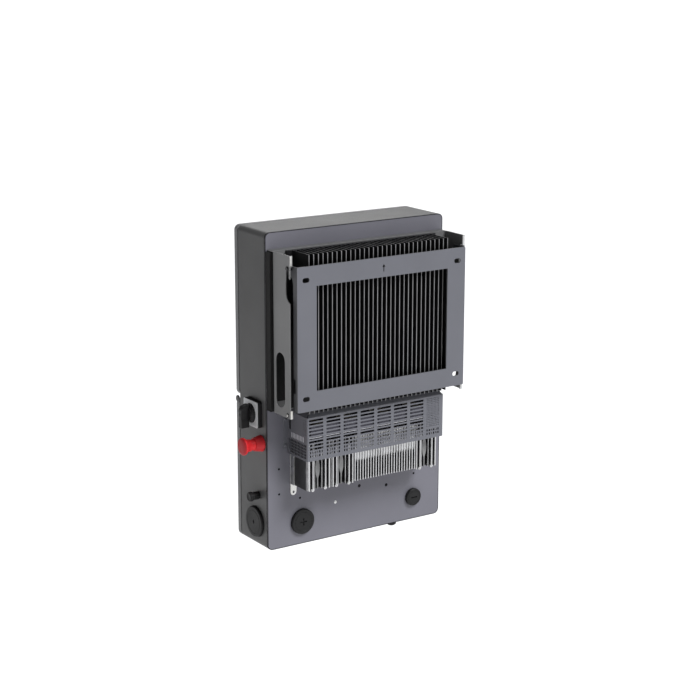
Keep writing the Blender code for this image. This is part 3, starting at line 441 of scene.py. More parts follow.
def lathe(bm, base, axis, profile, steps=48, closed=False):
    """Adds a turned shape. The profile lists (radius, distance along the axis)."""
    turn = Matrix.Translation(base) @ turn_to(axis)
    rings = []
    for radius, reach in profile:
        count = steps if radius else 1
        angles = [2 * math.pi * i / count for i in range(count)]
        points = [turn @ Vector((radius * math.cos(a), radius * math.sin(a), reach)) for a in angles]
        rings.append([bm.verts.new(point) for point in points])
    for first, second in zip(rings, rings[1:] + (rings[:1] if closed else [])):
        for i in range(steps):
            corners = [first[i % len(first)], first[(i + 1) % len(first)]]
            corners += [second[(i + 1) % len(second)], second[i % len(second)]]
            kept = list(dict.fromkeys(corners))
            if len(kept) > 2:
                bm.faces.new(kept)


def turned(base, axis, profile, steps=48, closed=False):
    """A new mesh that holds one turned shape."""
    bm = bmesh.new()
    lathe(bm, base, axis, profile, steps, closed)
    return bm


def rod(bm, base, axis, radius, length, steps=48):
    """Adds a plain rod that starts at its base. Most are cutting tools."""
    lathe(bm, base, axis, [(0.0, 0.0), (radius, 0.0), (radius, length), (0.0, length)], steps)


def rods_round(bm, count, place, offset, profile):
    """Adds turned ribs along +X, evenly round the axis through a place."""
    for number in range(count):
        turn = Matrix.Rotation(2 * math.pi * number / count, 4, "X")
        lathe(bm, Vector(place) + turn @ Vector(offset), "+X", profile, 8)


def square(y, z, half, radius):
    """A rounded square outline about a centre."""
    return rounded((y - half, z - half), (y + half, z + half), radius, 6)


def arc(centre, radius, start, end, steps=8):
    """Points along an arc between two angles in degrees."""
    angles = [math.radians(start + (end - start) * i / steps) for i in range(steps + 1)]
    return [(centre[0] + radius * math.cos(a), centre[1] + radius * math.sin(a)) for a in angles]


def rounded(low, high, radius, steps=3):
    """The outline of a rectangle with round corners."""
    (left, bottom), (right, top) = low, high
    points = []
    for x, y, start in ((right, top, 0), (left, top, 90), (left, bottom, 180), (right, bottom, 270)):
        centre = (x - radius if x == right else x + radius, y - radius if y == top else y + radius)
        points += arc(centre, radius, start, start + 90, steps)
    return points


def circle(centre, radius):
    """An eight-sided outline for a small hole."""
    return arc(centre, radius, 0, 315, 7)


def object_of(name, bm):
    """Puts a mesh under construction into the scene as an object."""
    bmesh.ops.recalc_face_normals(bm, faces=bm.faces)
    mesh = bpy.data.meshes.new(name)
    bm.to_mesh(mesh)
    bm.free()
    made = bpy.data.objects.new(name, mesh)
    bpy.context.scene.collection.objects.link(made)
    return made


def carved(name, solid, *tools):
    """The mesh of a solid with each tool cut out of it."""
    target = object_of(name, solid)
    cutters = [object_of(f"{name}_tool_{number}", tool) for number, tool in enumerate(tools)]
    for cutter in cutters:
        modifier = target.modifiers.new("carve", "BOOLEAN")
        modifier.solver = "EXACT"
        modifier.object = cutter
    graph = bpy.context.evaluated_depsgraph_get()
    mesh = bpy.data.meshes.new_from_object(target.evaluated_get(graph))
    for scrap in [target, *cutters]:
        old = scrap.data
        bpy.data.objects.remove(scrap)
        bpy.data.meshes.remove(old)
    return mesh


def piece(name, mesh_or_bm, slot, body="inverter", node=None, rounding=0.0, finish=None):
    """Puts a mesh that is already in place into the scene, on a body, with a finish and round edges."""
    if isinstance(mesh_or_bm, bmesh.types.BMesh):
        made = object_of(name, mesh_or_bm)
    else:
        made = bpy.data.objects.new(name, mesh_or_bm)
        bpy.context.scene.collection.objects.link(made)
    mesh = made.data
    mesh.materials.clear()
    mesh.materials.append(finish or FINISHES[slot])
    mesh.shade_smooth()
    mesh.set_sharp_from_angle(angle=math.radians(40.0))
    if rounding:
        bevelled(made, rounding)
    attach(made, body)
    if node:
        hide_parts(node)


def bevelled(made, width):
    """Rounds sharp edges."""
    modifier = made.modifiers.new("rounding", "BEVEL")
    modifier.width = width
    modifier.segments = 2
    modifier.limit_method = "ANGLE"
    modifier.angle_limit = math.radians(35.0)
    modifier.harden_normals = True


def screw_head(bm, base, axis, radius, height):
    """A low domed screw head with a socket."""
    key = radius * 0.42
    dome = [(0.0, height * 0.35), (key, height * 0.35), (key, height), (radius * 0.8, height * 0.8)]
    lathe(bm, base, axis, dome + [(radius, height * 0.3), (radius, 0.0), (0.0, 0.0)], 18)


# ---------------------------------------------------------------- fan guard

GUARD_HALF, GUARD_REACH, GUARD_SHEET = 0.191, 0.0873, 0.0008
GUARD_LOW, GUARD_HIGH = 0.23, 0.333
GUARD_COLUMNS, GUARD_COLUMN_PITCH, SLOT_LONG = 8, 0.0468, 0.0385
LEVEL_ROWS, LEVEL_PITCH, LEVEL_TOP, SLOT_TALL = 9, 0.0084, 0.3259, 0.005
SMALL_ROWS, SMALL_COUNT = (0.2503, 0.2418), 6


def guard_column(number):
    """The x of the middle of a column of slots, counted from the +X end."""
    return GUARD_HALF - 0.0045 - SLOT_LONG / 2 - number * GUARD_COLUMN_PITCH


def guard_back_holes():
    """Seven columns of level slots, a full row of small holes under them, and a mesh at the -X end."""
    bm = bmesh.new()
    near, far = behind(GUARD_REACH - 0.006), behind(GUARD_REACH + 0.004)
    for column in range(GUARD_COLUMNS):
        x = guard_column(column)
        left, right = x - SLOT_LONG / 2, x + SLOT_LONG / 2
        for row in range(LEVEL_ROWS if column < GUARD_COLUMNS - 1 else 0):
            z = up(LEVEL_TOP - row * LEVEL_PITCH)
            outline = rounded((left, z - SLOT_TALL / 2), (right, z + SLOT_TALL / 2), 0.0016, 2)
            prism(bm, outline, "XZ", near, far)
        pitch = SLOT_LONG / SMALL_COUNT
        for z in SMALL_ROWS:
            for number in range(SMALL_COUNT):
                start = left + (number + 0.22) * pitch
                low, high = (start, up(z) - 0.003), (start + pitch * 0.56, up(z) + 0.003)
                prism(bm, rounded(low, high, 0.0012, 2), "XZ", near, far)
    columns, rows, pitch, middle = 9, 17, 0.0042, guard_column(GUARD_COLUMNS - 1)
    for column in range(columns):
        for row in range(rows):
            place = (middle + (column - (columns - 1) / 2) * pitch, up(0.3275 - row * pitch))
            prism(bm, circle(place, 0.00125), "XZ", near, far)
    return bm


def guard_side_holes():
    """A tall slot and two columns of holes beside a plain panel, a row of slits, and a square mesh."""
    bm = bmesh.new()
    wide = GUARD_HALF + 0.004
    prism(bm, rounded((behind(0.0085), up(0.29)), (behind(0.0165), up(0.326)), 0.002, 3), "YZ", -wide, wide)
    for depth in (0.0722, 0.0782):
        for row in range(9):
            prism(bm, circle((behind(depth), up(0.2915 + row * 0.0042)), 0.0015), "YZ", -wide, wide)
    for column in range(9):
        depth = 0.02 + column * 0.0062
        low, high = (behind(depth - 0.0017), up(0.2725)), (behind(depth + 0.0017), up(0.285))
        prism(bm, rounded(low, high, 0.001, 2), "YZ", -wide, wide)
    for column in range(12):
        for row in range(5):
            y, z = behind(0.01 + column * 0.0063), up(0.2655 - row * 0.007)
            outline = rounded((y - 0.0027, z - 0.0031), (y + 0.0027, z + 0.0031), 0.0008, 2)
            prism(bm, outline, "YZ", -wide, wide)
    return bm


def guard_shell():
    """The folded cage seen from above: two side walls and the back, with round bends."""
    bend = 0.003
    centre = (GUARD_HALF - bend, behind(GUARD_REACH - bend))
    right = [(GUARD_HALF, behind(GAP))] + arc(centre, bend, 0, 90, 5)
    inner = arc(centre, bend - GUARD_SHEET, 90, 0, 5) + [(GUARD_HALF - GUARD_SHEET, behind(GAP))]
    left = [(-x, y) for x, y in reversed(right)]
    inner_left = [(-x, y) for x, y in reversed(inner)]
    bm = bmesh.new()
    prism(bm, right + left + inner_left + inner, "XY", up(GUARD_LOW), up(GUARD_HIGH))
    return bm


def slanted_strip(bm, bottom, top, thick):
    """A strip between two edges, each given by its ends, with its thickness along a vector."""
    corners = [Vector(point) for point in (*bottom, *reversed(top))]
    near = [bm.verts.new(point) for point in corners]
    far = [bm.verts.new(point + Vector(thick)) for point in corners]
    bm.faces.new(near)
    bm.faces.new(far[::-1])
    for i in range(4):
        bm.faces.new((near[i - 1], near[i], far[i], far[i - 1]))


def make_guard():
    shell = carved("fan_guard_shell", guard_shell(), guard_back_holes(), guard_side_holes())
    piece("fan_guard_shell", shell, "paint_back", node="fan_guard", rounding=0.0002)
    lean, foot = 0.0082, 0.0015
    low, high = up(GUARD_HIGH - 0.0006), up(GUARD_HIGH + 0.0103)
    y, x = behind(GUARD_REACH - 0.0004), GUARD_HALF - 0.0004
    bm = bmesh.new()
    slanted_strip(
        bm,
        ((-x + 0.002, y, low), (x - 0.002, y, low)),
        ((-x + lean + 0.002, y - lean, high), (x - lean - 0.002, y - lean, high)),
        (0.0, -0.001, -0.001),
    )
    for sign in (1, -1):
        edge = sign * (x - lean)
        slanted_strip(
            bm,
            ((sign * x, behind(0.004), low), (sign * x, y - 0.002, low)),
            ((edge, behind(0.006), high), (edge, y - lean - 0.002, high)),
            (-sign * 0.001, 0.0, -0.001),
        )
    near = (GUARD_HALF - 0.001, behind(GAP), up(GUARD_LOW + 0.012))
    twin_blocks(bm, near, (GUARD_HALF + 0.011, behind(GAP + foot), up(GUARD_HIGH - 0.012)))
    piece("fan_guard_flanges", bm, "paint_back", rounding=0.0003)
    bm = bmesh.new()
    for x in (GUARD_HALF + 0.006, -(GUARD_HALF + 0.006)):
        for height in (0.25, 0.3125):
            screw_head(bm, (x, behind(GAP + foot), up(height)), "+Y", 0.0036, 0.0022)
    piece("fan_guard_screws", bm, "paint_back")


def make_guard_light_and_shade():
    """Painted light and shade inside the guard: a pale strip behind the slits and under the back's top edge,
    which paints the light seen through them, and dark pads behind the mesh, which paint its shade.
    """
    bm = bmesh.new()
    # Painted light: pale strips where light is seen through the slits and under the back's top edge.
    block(bm, (-0.186, behind(GAP), up(0.3125)), (0.186, behind(0.002), up(0.336)))
    twin_blocks(bm, (0.188, behind(0.012), up(0.27)), (0.1906, behind(0.076), up(0.287)))
    piece("fan_guard_painted_light", bm, "paint_back", rounding=0.0003, finish=INNER_LIGHT_FINISH)
    # Painted shade: dark pads behind the side mesh, where the inside of the guard lies in shade.
    bm = bmesh.new()
    for low, high in ((0.2335, 0.269), (0.288, 0.329)):
        twin_blocks(bm, (0.1864, behind(0.007), up(low)), (0.1878, behind(0.0815), up(high)))
    piece("fan_guard_painted_shade", bm, "rubber", rounding=0.0003)


# ---------------------------------------------------------------- chokes

CHOKE_LOW, CHOKE_HIGH, CHOKE_REACH = 0.154, 0.268, 0.0755
CAN_CENTRES, CAN_WIDTH = (0.1505, 0.0857, -0.1515), 0.063
COOLER_HIGH_X, COOLER_LOW_X = 0.0537, -0.1195


def upright_rib(bm, centre, width, root, reach, low, high):
    """Adds an upright rib with a round nose."""
    radius = width / 2
    tip = arc((centre, behind(reach) - radius), radius, 180, 0)
    prism(bm, [(centre - radius, behind(root))] + tip + [(centre + radius, behind(root))], "XY", low, high)


def make_choke_can(number, centre):
    """A die-cast can: round-nosed ribs, deep pockets beside a waisted middle rib, and two lugs."""
    half, edge, lug, web = CAN_WIDTH / 2 - GAP, 0.0272, 0.0172, 0.01
    low, high = up(CHOKE_LOW), up(CHOKE_HIGH)
    bm = bmesh.new()
    pocket, shelf = behind(0.03), behind(0.058)
    floor = [(half, behind(0.0026)), (half, behind(0.07)), (edge, behind(0.07)), (edge, shelf)]
    floor += [(web, shelf), (web, pocket)]
    outline = [(centre + x, y) for x, y in floor] + [(centre - x, y) for x, y in reversed(floor)]
    prism(bm, outline, "XY", low, high)
    boss = [(0.0, 0.0), (0.0042, 0.0), (0.0042, 0.0206), (0.0036, 0.0214), (0.0018, 0.0214)]
    boss += [(0.0018, 0.017), (0.0, 0.017)]
    for sign in (1, -1):
        upright_rib(bm, centre + sign * edge, 0.0036, 0.056, CHOKE_REACH, low, high)
        upright_rib(bm, centre + sign * lug, 0.0036, 0.056, CHOKE_REACH, low, high)
        upright_rib(bm, centre + sign * web, 0.0028, 0.028, 0.07, low, high)
        lathe(bm, (centre + sign * lug, behind(0.0526), up(CHOKE_LOW + 0.0012)), "+Y", boss, 24)
    slim, wide, middle, swell = 0.0018, 0.0062, up(0.203), 0.024
    side = [(centre + slim, low), (centre + slim, middle - swell)]
    for angle in range(-75, 90, 15):
        turn = math.radians(angle)
        side.append((centre + slim + (wide - slim) * math.cos(turn) ** 2, middle + swell * math.sin(turn)))
    side += [(centre + slim, middle + swell), (centre + slim, high)]
    mirrored = [(2 * centre - x, z) for x, z in reversed(side)]
    prism(bm, side + mirrored, "XZ", behind(0.028), behind(0.0668))
    name, node = f"choke_can_body_{number}", f"choke_can_{number}"
    piece(name, bm, "aluminium", node=node, rounding=0.0005, finish=CAN_FINISH)


def make_choke_cooler():
    """The finned block: thin round-nosed fins on a floor that swells out smoothly in its upper part."""
    low, high = up(CHOKE_LOW + 0.003), up(CHOKE_HIGH)
    left, right, count, thick = COOLER_LOW_X + GAP, COOLER_HIGH_X - GAP, 24, 0.0025
    bm = bmesh.new()
    block(bm, (left, behind(0.0026), low), (right, behind(0.04), high))
    pitch = (right - left - thick) / (count - 1)
    for number in range(count):
        upright_rib(bm, left + thick / 2 + number * pitch, thick, 0.038, CHOKE_REACH, low, high)
    piece("choke_cooler_fins", bm, "aluminium", node="choke_cooler", rounding=0.0002, finish=COOLER_FINISH)
    start, reach, rise = up(0.188), 0.0335, 0.024
    bm = bmesh.new()
    bulge = [(behind(0.038), start)]
    for angle in range(0, 91, 9):
        turn = math.radians(angle)
        bulge.append((behind(0.0385) + reach * math.sin(turn), start + rise * (1 - math.cos(turn))))
    bulge += [(behind(0.0385) + reach, high - 0.0002), (behind(0.038), high - 0.0002)]
    prism(bm, bulge, "YZ", left + 0.0005, right - 0.0005)
    piece("choke_cooler_bulge", bm, "aluminium", finish=BULGE_FINISH)


def make_choke_strip():
    """The bracket's folded edge, which stands beside the +X can."""
    bm = bmesh.new()
    block(bm, (0.1824, behind(0.0024), up(0.1535)), (0.1838, behind(0.0175), up(CHOKE_HIGH)))
    piece("choke_strip", bm, "zinc", rounding=0.0004)


# ---------------------------------------------------------------- fans

BLADES, BLADE_ROOT, BLADE_TIP, BLADE_THICK = 7, 0.0155, 0.0355, 0.0007


def blade_point(blade, part, out, side):
    """A point on a fan blade, from the middle of the hub's base."""
    radius = BLADE_ROOT + (BLADE_TIP - BLADE_ROOT) * out
    sweep = math.radians(360 * blade / BLADES + part * (52 - 14 * out) + 9 * out ** 2)
    lift = 0.0088 - part * (0.0115 - 0.003 * out) + 0.0022 * (0.25 - part * part) + side * BLADE_THICK / 2
    return Vector((radius * math.cos(sweep), radius * math.sin(sweep), lift))


def make_fan_rotor(number):
    """A rotor with seven curved blades round a domed hub."""
    node = f"fan_rotor_{number}"
    low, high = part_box(node)
    foot, height = Vector(((low.x + high.x) / 2, (low.y + high.y) / 2, low.z)), high.z - low.z
    hub = [(0.0, height), (0.0105, height), (0.015, height - 0.0012), (0.0165, height - 0.004)]
    bm = turned(foot, "+Z", hub + [(0.0165, 0.0), (0.0, 0.0)], 40)
    piece(f"fan_hub_{number}", bm, "aluminium", node, rounding=0.0003, finish=BLADE_FINISH)
    bm = bmesh.new()
    across, along = 6, 6
    for blade in range(BLADES):
        grids = []
        for side in (-1, 1):
            rows = []
            for i in range(across + 1):
                rows.append([])
                for j in range(along + 1):
                    point = blade_point(blade, j / along - 0.5, i / across, side)
                    rows[-1].append(bm.verts.new(foot + point))
            grids.append(rows)
        for rows in grids:
            for i in range(across):
                for j in range(along):
                    bm.faces.new((rows[i][j], rows[i][j + 1], rows[i + 1][j + 1], rows[i + 1][j]))
        rim = [(0, j) for j in range(along)] + [(i, along) for i in range(across)]
        rim += [(across, j) for j in range(along, 0, -1)] + [(i, 0) for i in range(across, 0, -1)]
        for (i, j), (k, m) in zip(rim, rim[1:] + rim[:1]):
            bm.faces.new((grids[0][i][j], grids[0][k][m], grids[1][k][m], grids[1][i][j]))
    piece(f"fan_blades_{number}", bm, "aluminium", node, node, finish=BLADE_FINISH)


# ---------------------------------------------------------------- controls

SWITCH = (inside(0.0515), up(0.324))
STOP = (SIDE, inside(0.0246), up(0.256))


def make_disconnect_plate():
    """The rotary disconnect's pale, finely grooved face on a black base."""
    y, z = SWITCH
    half, seat = 0.0315, 0.024
    base, face = SIDE + GAP, SIDE + GAP + 0.0125
    bm, bore, recess, hole, grooves = (bmesh.new() for _ in range(5))
    prism(bm, square(y, z, half, 0.006), "YZ", base, face - 0.0022)
    rod(bore, (base - 0.002, y, z), "+X", 0.0062, 0.018)
    rod(recess, (base + 0.0099, y, z), "+X", seat, 0.006, 64)
    mesh = carved("disconnect_base", bm, bore, recess)
    piece("disconnect_base", mesh, "black_plastic", node="disconnect_plate", rounding=0.0005)
    bm = bmesh.new()
    edge = half - 0.0012
    prism(bm, square(y, z, edge, 0.003), "YZ", face - 0.0024, face)
    rod(hole, (base + 0.0085, y, z), "+X", 0.0232, 0.006, 64)
    near, far = y - edge + 0.003, y + edge - 0.003
    for number in range(19):
        level = z - edge + 0.0036 + number * 0.003
        block(grooves, (face - 0.0003, near, level), (face + 0.001, far, level + 0.0011))
    piece("disconnect_face", carved("disconnect_face", bm, hole, grooves), "grey_plastic")


def make_disconnect_knob():
    """A stepped, ribbed hub and a waisted grip with a screw in its end."""
    y, z = SWITCH
    base = SIDE + GAP
    hub = [(0.0044, 0.0), (0.0226, 0.0), (0.0226, 0.003), (0.022, 0.0038), (0.0208, 0.0042), (0.0205, 0.007)]
    hub += [(0.0198, 0.0078), (0.018, 0.0086), (0.018, 0.0115), (0.0044, 0.0115)]
    bm = turned((base + 0.0105, y, z), "+X", hub, 64, closed=True)
    rib = [(0.0, 0.0), (0.0006, 0.0), (0.0006, 0.0024), (0.0, 0.0024)]
    rods_round(bm, 24, (base + 0.015, y, z), (0.0, 0.0, 0.0203), rib)
    piece("disconnect_hub", bm, "black_plastic", "disconnect_knob", "disconnect_knob", rounding=0.0002)
    low, high, grip = base + 0.019, base + 0.04, 0.007
    top, bottom, across, down = z + 0.0225, z - 0.032, 0.018, 0.014
    outline = [(low, bottom), (high, bottom)]
    for angle in range(0, 91, 10):
        turn = math.radians(angle)
        outline.append((high - across * (1 - math.cos(turn)), top - down * (1 - math.sin(turn))))
    bm, screw, hollows = (bmesh.new() for _ in range(3))
    prism(bm, outline + [(low, top)], "XZ", y - grip, y + grip)
    rod(screw, (high - 0.0016, y, z), "+X", 0.0022, 0.003, 20)
    for sign in (1, -1):
        rod(hollows, (low - 0.004, y + sign * (grip + 0.0405), z - 0.005), "+X", 0.042, 0.036, 96)
    mesh = carved("disconnect_grip", bm, screw, hollows)
    piece("disconnect_grip", mesh, "black_plastic", "disconnect_knob", rounding=0.0012)


def make_stop_button():
    """The stop button: a tapered collar, a neck, and a mushroom head with arrows in its face, which is painted
    a darker red as shade.
    """
    collar = [
        (0.0082, -0.012), (0.0109, -0.012), (0.0109, GAP), (0.019, GAP), (0.0194, 0.001), (0.0194, 0.003),
        (0.0188, 0.0038), (0.0172, 0.012), (0.0155, 0.02), (0.0149, 0.0212), (0.0133, 0.0212), (0.013, 0.0205),
        (0.013, 0.0055), (0.0082, 0.0055),
    ]
    mesh = turned(STOP, "+X", collar, 64, closed=True)
    piece("stop_collar_cone", mesh, "red_plastic", node="stop_collar", finish=COLLAR_FINISH)
    stem = [(0.0, 0.029), (0.0122, 0.029), (0.0125, 0.0284), (0.0125, 0.0125), (0.0078, 0.0125)]
    mesh = turned(STOP, "+X", stem + [(0.0078, -0.0165), (0.0, -0.0165)], 64)
    piece("stop_neck", mesh, "red_plastic", "stop_plunger", "stop_stem")
    head = [
        (0.0, 0.0507), (0.0196, 0.0507), (0.0204, 0.05), (0.0205, 0.049), (0.0202, 0.0474), (0.0188, 0.0448),
        (0.0167, 0.0422), (0.0152, 0.0396), (0.0144, 0.0366), (0.014, 0.0332), (0.0138, 0.03),
        (0.0131, 0.0293), (0.0, 0.0293),
    ]
    piece("stop_mushroom", turned(STOP, "+X", head, 64), "red_plastic", "stop_head", "stop_head")
    face = [(0.0, 0.0543), (0.014, 0.0541), (0.0176, 0.0534), (0.0196, 0.0522), (0.0203, 0.051)]
    arrows = bmesh.new()
    for start in (0, 120, 240):
        outline = arc(STOP[1:], 0.0118, start, start + 60, 5) + arc(STOP[1:], 0.01, start + 60, start, 5)
        prism(arrows, outline, "YZ", STOP[0] + 0.0539, STOP[0] + 0.056)
    mesh = carved("stop_face", turned(STOP, "+X", face + [(0.0203, 0.0504), (0.0, 0.0504)], 64), arrows)
    piece("stop_face", mesh, "red_plastic", "stop_head", finish=SHADED_FACE_FINISH)


def plug(name, place, axis, cap, height, neck, node, marks):
    """A closing plug: a knurled rim, a ring groove, a flat face with a screwdriver mark, and a thread."""
    profile = [(0.0, height - 0.0006), (cap * 0.72, height - 0.0004), (cap * 0.735, height - 0.0009)]
    profile += [(cap * 0.755, height - 0.0009), (cap * 0.77, height - 0.0004), (cap - 0.0022, height - 0.0006)]
    profile += [(cap - 0.0006, height - 0.0022), (cap - 0.0003, GAP), (neck, GAP)]
    for turn in range(6):
        start = -0.0015 - turn * 0.0016
        profile += [(neck - 0.0006, start), (neck - 0.0001, start - 0.0008)]
    profile += [(neck - 0.001, -0.0119), (0.0, -0.0119)]
    turn = Matrix.Translation(place) @ turn_to(axis)
    slots = []
    for width, length in marks:
        slots.append(bmesh.new())
        ends = (-width, -length, height - 0.003), (width, length, height + 0.003)
        first, second = (turn @ Vector(end) for end in ends)
        block(slots[-1], list(map(min, first, second)), list(map(max, first, second)))
    knurl = bmesh.new()
    count = round(cap * 2 * math.pi / 0.0048)
    for number in range(count):
        angle = 2 * math.pi * number / count
        middle = turn @ Vector((cap * math.cos(angle), cap * math.sin(angle), GAP + 0.0006))
        rod(knurl, middle, axis, 0.0007, height - 0.0036, 6)
    body = turned(place, axis, profile, 72)
    piece(name, carved(name, body, knurl, *slots), "black_plastic", node=node)


def make_plugs():
    """The three closing plugs, with a cross or a single slot in each."""
    place, marks = (SIDE, inside(0.053), up(0.058)), ((0.0013, 0.0052), (0.0036, 0.0013))
    plug("side_cap", place, "+X", 0.0375, 0.0075, 0.0335, "side_plug", marks)
    place, marks = (0.152, BACK, up(0.056)), ((0.0016, 0.0088), (0.0088, 0.0016))
    plug("rear_cap_large", place, "+Y", 0.031, 0.0085, 0.027, "rear_plug_large", marks)
    place, marks = (-0.166, BACK, up(0.057)), ((0.0092, 0.0015),)
    plug("rear_cap_small", place, "+Y", 0.022, 0.0085, 0.019, "rear_plug_small", marks)


def make_glands():
    """The ribbed vent gland on the side, and the cable gland and drain cap in the underside."""
    place = (SIDE, inside(0.04), up(0.126))
    body = [(0.0, 0.0262), (0.0072, 0.0262), (0.0088, 0.0269), (0.0104, 0.0262), (0.0108, 0.025)]
    body += [(0.0108, 0.0176), (0.0098, 0.0166), (0.009, 0.016), (0.009, GAP), (0.0075, GAP)]
    body += [(0.0075, -0.0119), (0.0, -0.0119)]
    bm = turned(place, "+X", body)
    rib = [(0.0, 0.0), (0.0011, 0.0004), (0.0011, 0.0078), (0.0, 0.0086)]
    rods_round(bm, 14, place, (0.0172, 0.0, 0.0103), rib)
    ring = [(0.0088, 0.0), (0.0098, 0.0004), (0.0098, 0.0014), (0.0088, 0.0018)]
    for reach in (0.0035, 0.007, 0.0105):
        lathe(bm, (place[0] + reach, *place[1:]), "+X", ring, closed=True)
    piece("vent_cap", bm, "black_plastic", node="vent_gland")
    x, y, z = -0.132, inside(0.04), up(0.0)
    dome = [(0.0, 0.019), (0.0028, 0.019), (0.0034, 0.0216), (0.0062, 0.0213), (0.009, 0.02), (0.0105, 0.0182)]
    bm = turned((x, y, z), "-Z", dome + [(0.0112, 0.015), (0.0112, 0.012), (0.0, 0.012)], 40)
    lathe(bm, (x, y, z), "-Z", [(0.0, 0.0122), (0.0124, 0.0122), (0.0124, GAP), (0.0, GAP)], 6)
    top = GAP + 0.0002
    lathe(bm, (x, y, z), "-Z", [(0.0, top), (0.01, top), (0.01, -0.0139), (0.0, -0.0139)], 40)
    rib = [(0.0, 0.0), (0.0012, 0.0), (0.0012, 0.005), (0.0, 0.0056)]
    for number in range(12):
        angle = 2 * math.pi * number / 12
        place = (x + 0.011 * math.cos(angle), y + 0.011 * math.sin(angle), up(-0.0122))
        lathe(bm, place, "-Z", rib, 8)
    piece("cable_gland", bm, "black_plastic", node="bottom_gland")
    cap = [(0.0, 0.01), (0.006, 0.01), (0.0066, 0.0113), (0.0148, 0.0113), (0.0172, 0.0102), (0.0179, 0.0086)]
    cap += [(0.0179, GAP), (0.015, GAP), (0.015, -0.0099), (0.0, -0.0099)]
    piece("drain_cap", turned((-0.06, y, z), "-Z", cap, 56), "black_plastic", node="bottom_plug")


# ---------------------------------------------------------------- front


def make_front():
    """The status window with its four lights, and the lower cover's bolts on dark rosettes."""
    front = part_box("upper_cover")[0].y
    low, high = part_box("status_window")
    middle = (low.z + high.z) / 2
    lens, wells, lights = (bmesh.new() for _ in range(3))
    prism(lens, rounded((low.x, low.z), (high.x, high.z), 0.0052, 8), "XZ", low.y, high.y)
    light = [(0.0, 0.0), (0.0012, 0.0001), (0.0021, 0.0004), (0.0021, 0.0014), (0.0, 0.0014)]
    for x in (-0.03, -0.01, 0.01, 0.03):
        rod(wells, (x, low.y - 0.001, middle), "+Y", 0.0026, 0.0018, 20)
        lathe(lights, (x, low.y - 0.0002, middle), "+Y", light, 20)
    piece("status_lens", carved("status_lens", lens, wells), "lens", node="status_window", rounding=0.0004)
    piece("status_lights", lights, "grey_plastic")
    bolt = [(0.0, 0.0269), (0.0017, 0.0269), (0.0018, 0.0262), (0.0018, 0.0026), (0.0043, 0.0026)]
    bolt += [(0.0043, 0.001), (0.0036, 0.0002), (0.0028, 0.0001), (0.0, 0.0001)]
    ring = [(0.0047, 0.0), (0.0047, -0.0008), (0.0052, -0.0013), (0.007, -0.0012), (0.0078, 0.0)]
    rosettes = bmesh.new()
    for number in range(1, 5):
        low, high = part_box(f"cover_screw_{number}")
        x, z = (low.x + high.x) / 2, (low.z + high.z) / 2
        key = bmesh.new()
        rod(key, (x, low.y - 0.001, z), "+Y", 0.002, 0.0026, 6)
        mesh = carved(f"cover_bolt_{number}", turned((x, low.y, z), "+Y", bolt, 28), key)
        piece(f"cover_bolt_{number}", mesh, "steel", "lower_cover", f"cover_screw_{number}")
        lathe(rosettes, (x, front + 0.0001, z), "+Y", ring, 36, closed=True)
    piece("cover_rosettes", rosettes, "black_plastic", "lower_cover")


# ---------------------------------------------------------------- fasteners on the back


def make_channel_details():
    """Rivets, bright strips on the channel's folded lips, which paint the highlight that the lips catch as
    well as their uncoated edges, and its screws. Gives back the rivets' dark rims.
    """
    low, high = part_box("rear_channel")
    edge = high.x - 0.0003
    bm, rims = bmesh.new(), bmesh.new()
    rivet = [(0.0, 0.0024), (0.0014, 0.0023), (0.0027, 0.0016), (0.0031, 0.0), (0.0, -0.0005)]
    rim = [(0.0, 0.0008), (0.0046, 0.0008), (0.0052, 0.0004), (0.0052, -0.0005), (0.0, -0.0005)]
    for sign, axis in ((1, "+X"), (-1, "-X")):
        place = (sign * edge, behind(0.0833), up(0.3475))
        lathe(bm, place, axis, rivet, 20)
        lathe(rims, place, axis, rim, 24)
    # Painted highlight on uncoated edges: bright zinc strips along the channel's folded lips.
    for bottom, top in ((low.z + 0.0005, up(0.3595)), (up(0.6883), high.z - 0.0005)):
        twin_blocks(bm, (high.x - 0.0052, high.y - 0.0006, bottom), (edge, high.y + 0.0002, top))
    piece("channel_rivets_and_bright_lips", bm, "zinc")
    bm = bmesh.new()
    for number in range(8):
        screw_head(bm, ((number - 3.5) * 0.0505, behind(0.0205), up(0.3475)), "+Y", 0.003, 0.002)
    piece("channel_screws", bm, "steel")
    return rims


def case_outline(depth):
    """The outline of the case, drawn in by a depth."""
    low, high = (-SIDE + depth, UNDERSIDE + depth), (SIDE - depth, CHASSIS_HIGH.z - depth)
    return rounded(low, high, 0.013 - depth, 10)


def make_back_seam(bm):
    """Adds the dark seam in the groove round the back edge, and the small blanking buttons."""
    small, large = 0.0027, 0.004
    buttons = ((0.157, 0.114, small), (0.214, 0.133, small), (0.214, 0.194, small), (-0.169, 0.116, small))
    for x, z, radius in buttons + ((-0.0098, 0.113, large), (-0.088, 0.101, large)):
        top = [(0.0, 0.0005), (radius * 0.7, 0.0005), (radius, 0.0001)]
        lathe(bm, (x, BACK, up(z)), "+Y", top + [(radius * 0.85, -0.001), (0.0, -0.001)], 20)
    bands = ((0.0002, 0.0007, inside(0.0044), inside(0.0011)), (0.0003, 0.0017, BACK - 0.0002, BACK + 0.0002))
    for shallow, deep, front, back in bands:
        tube(bm, case_outline(shallow), case_outline(deep), front, back)
    piece("back_seam_and_buttons", bm, "rubber", finish=SEAM_FINISH)


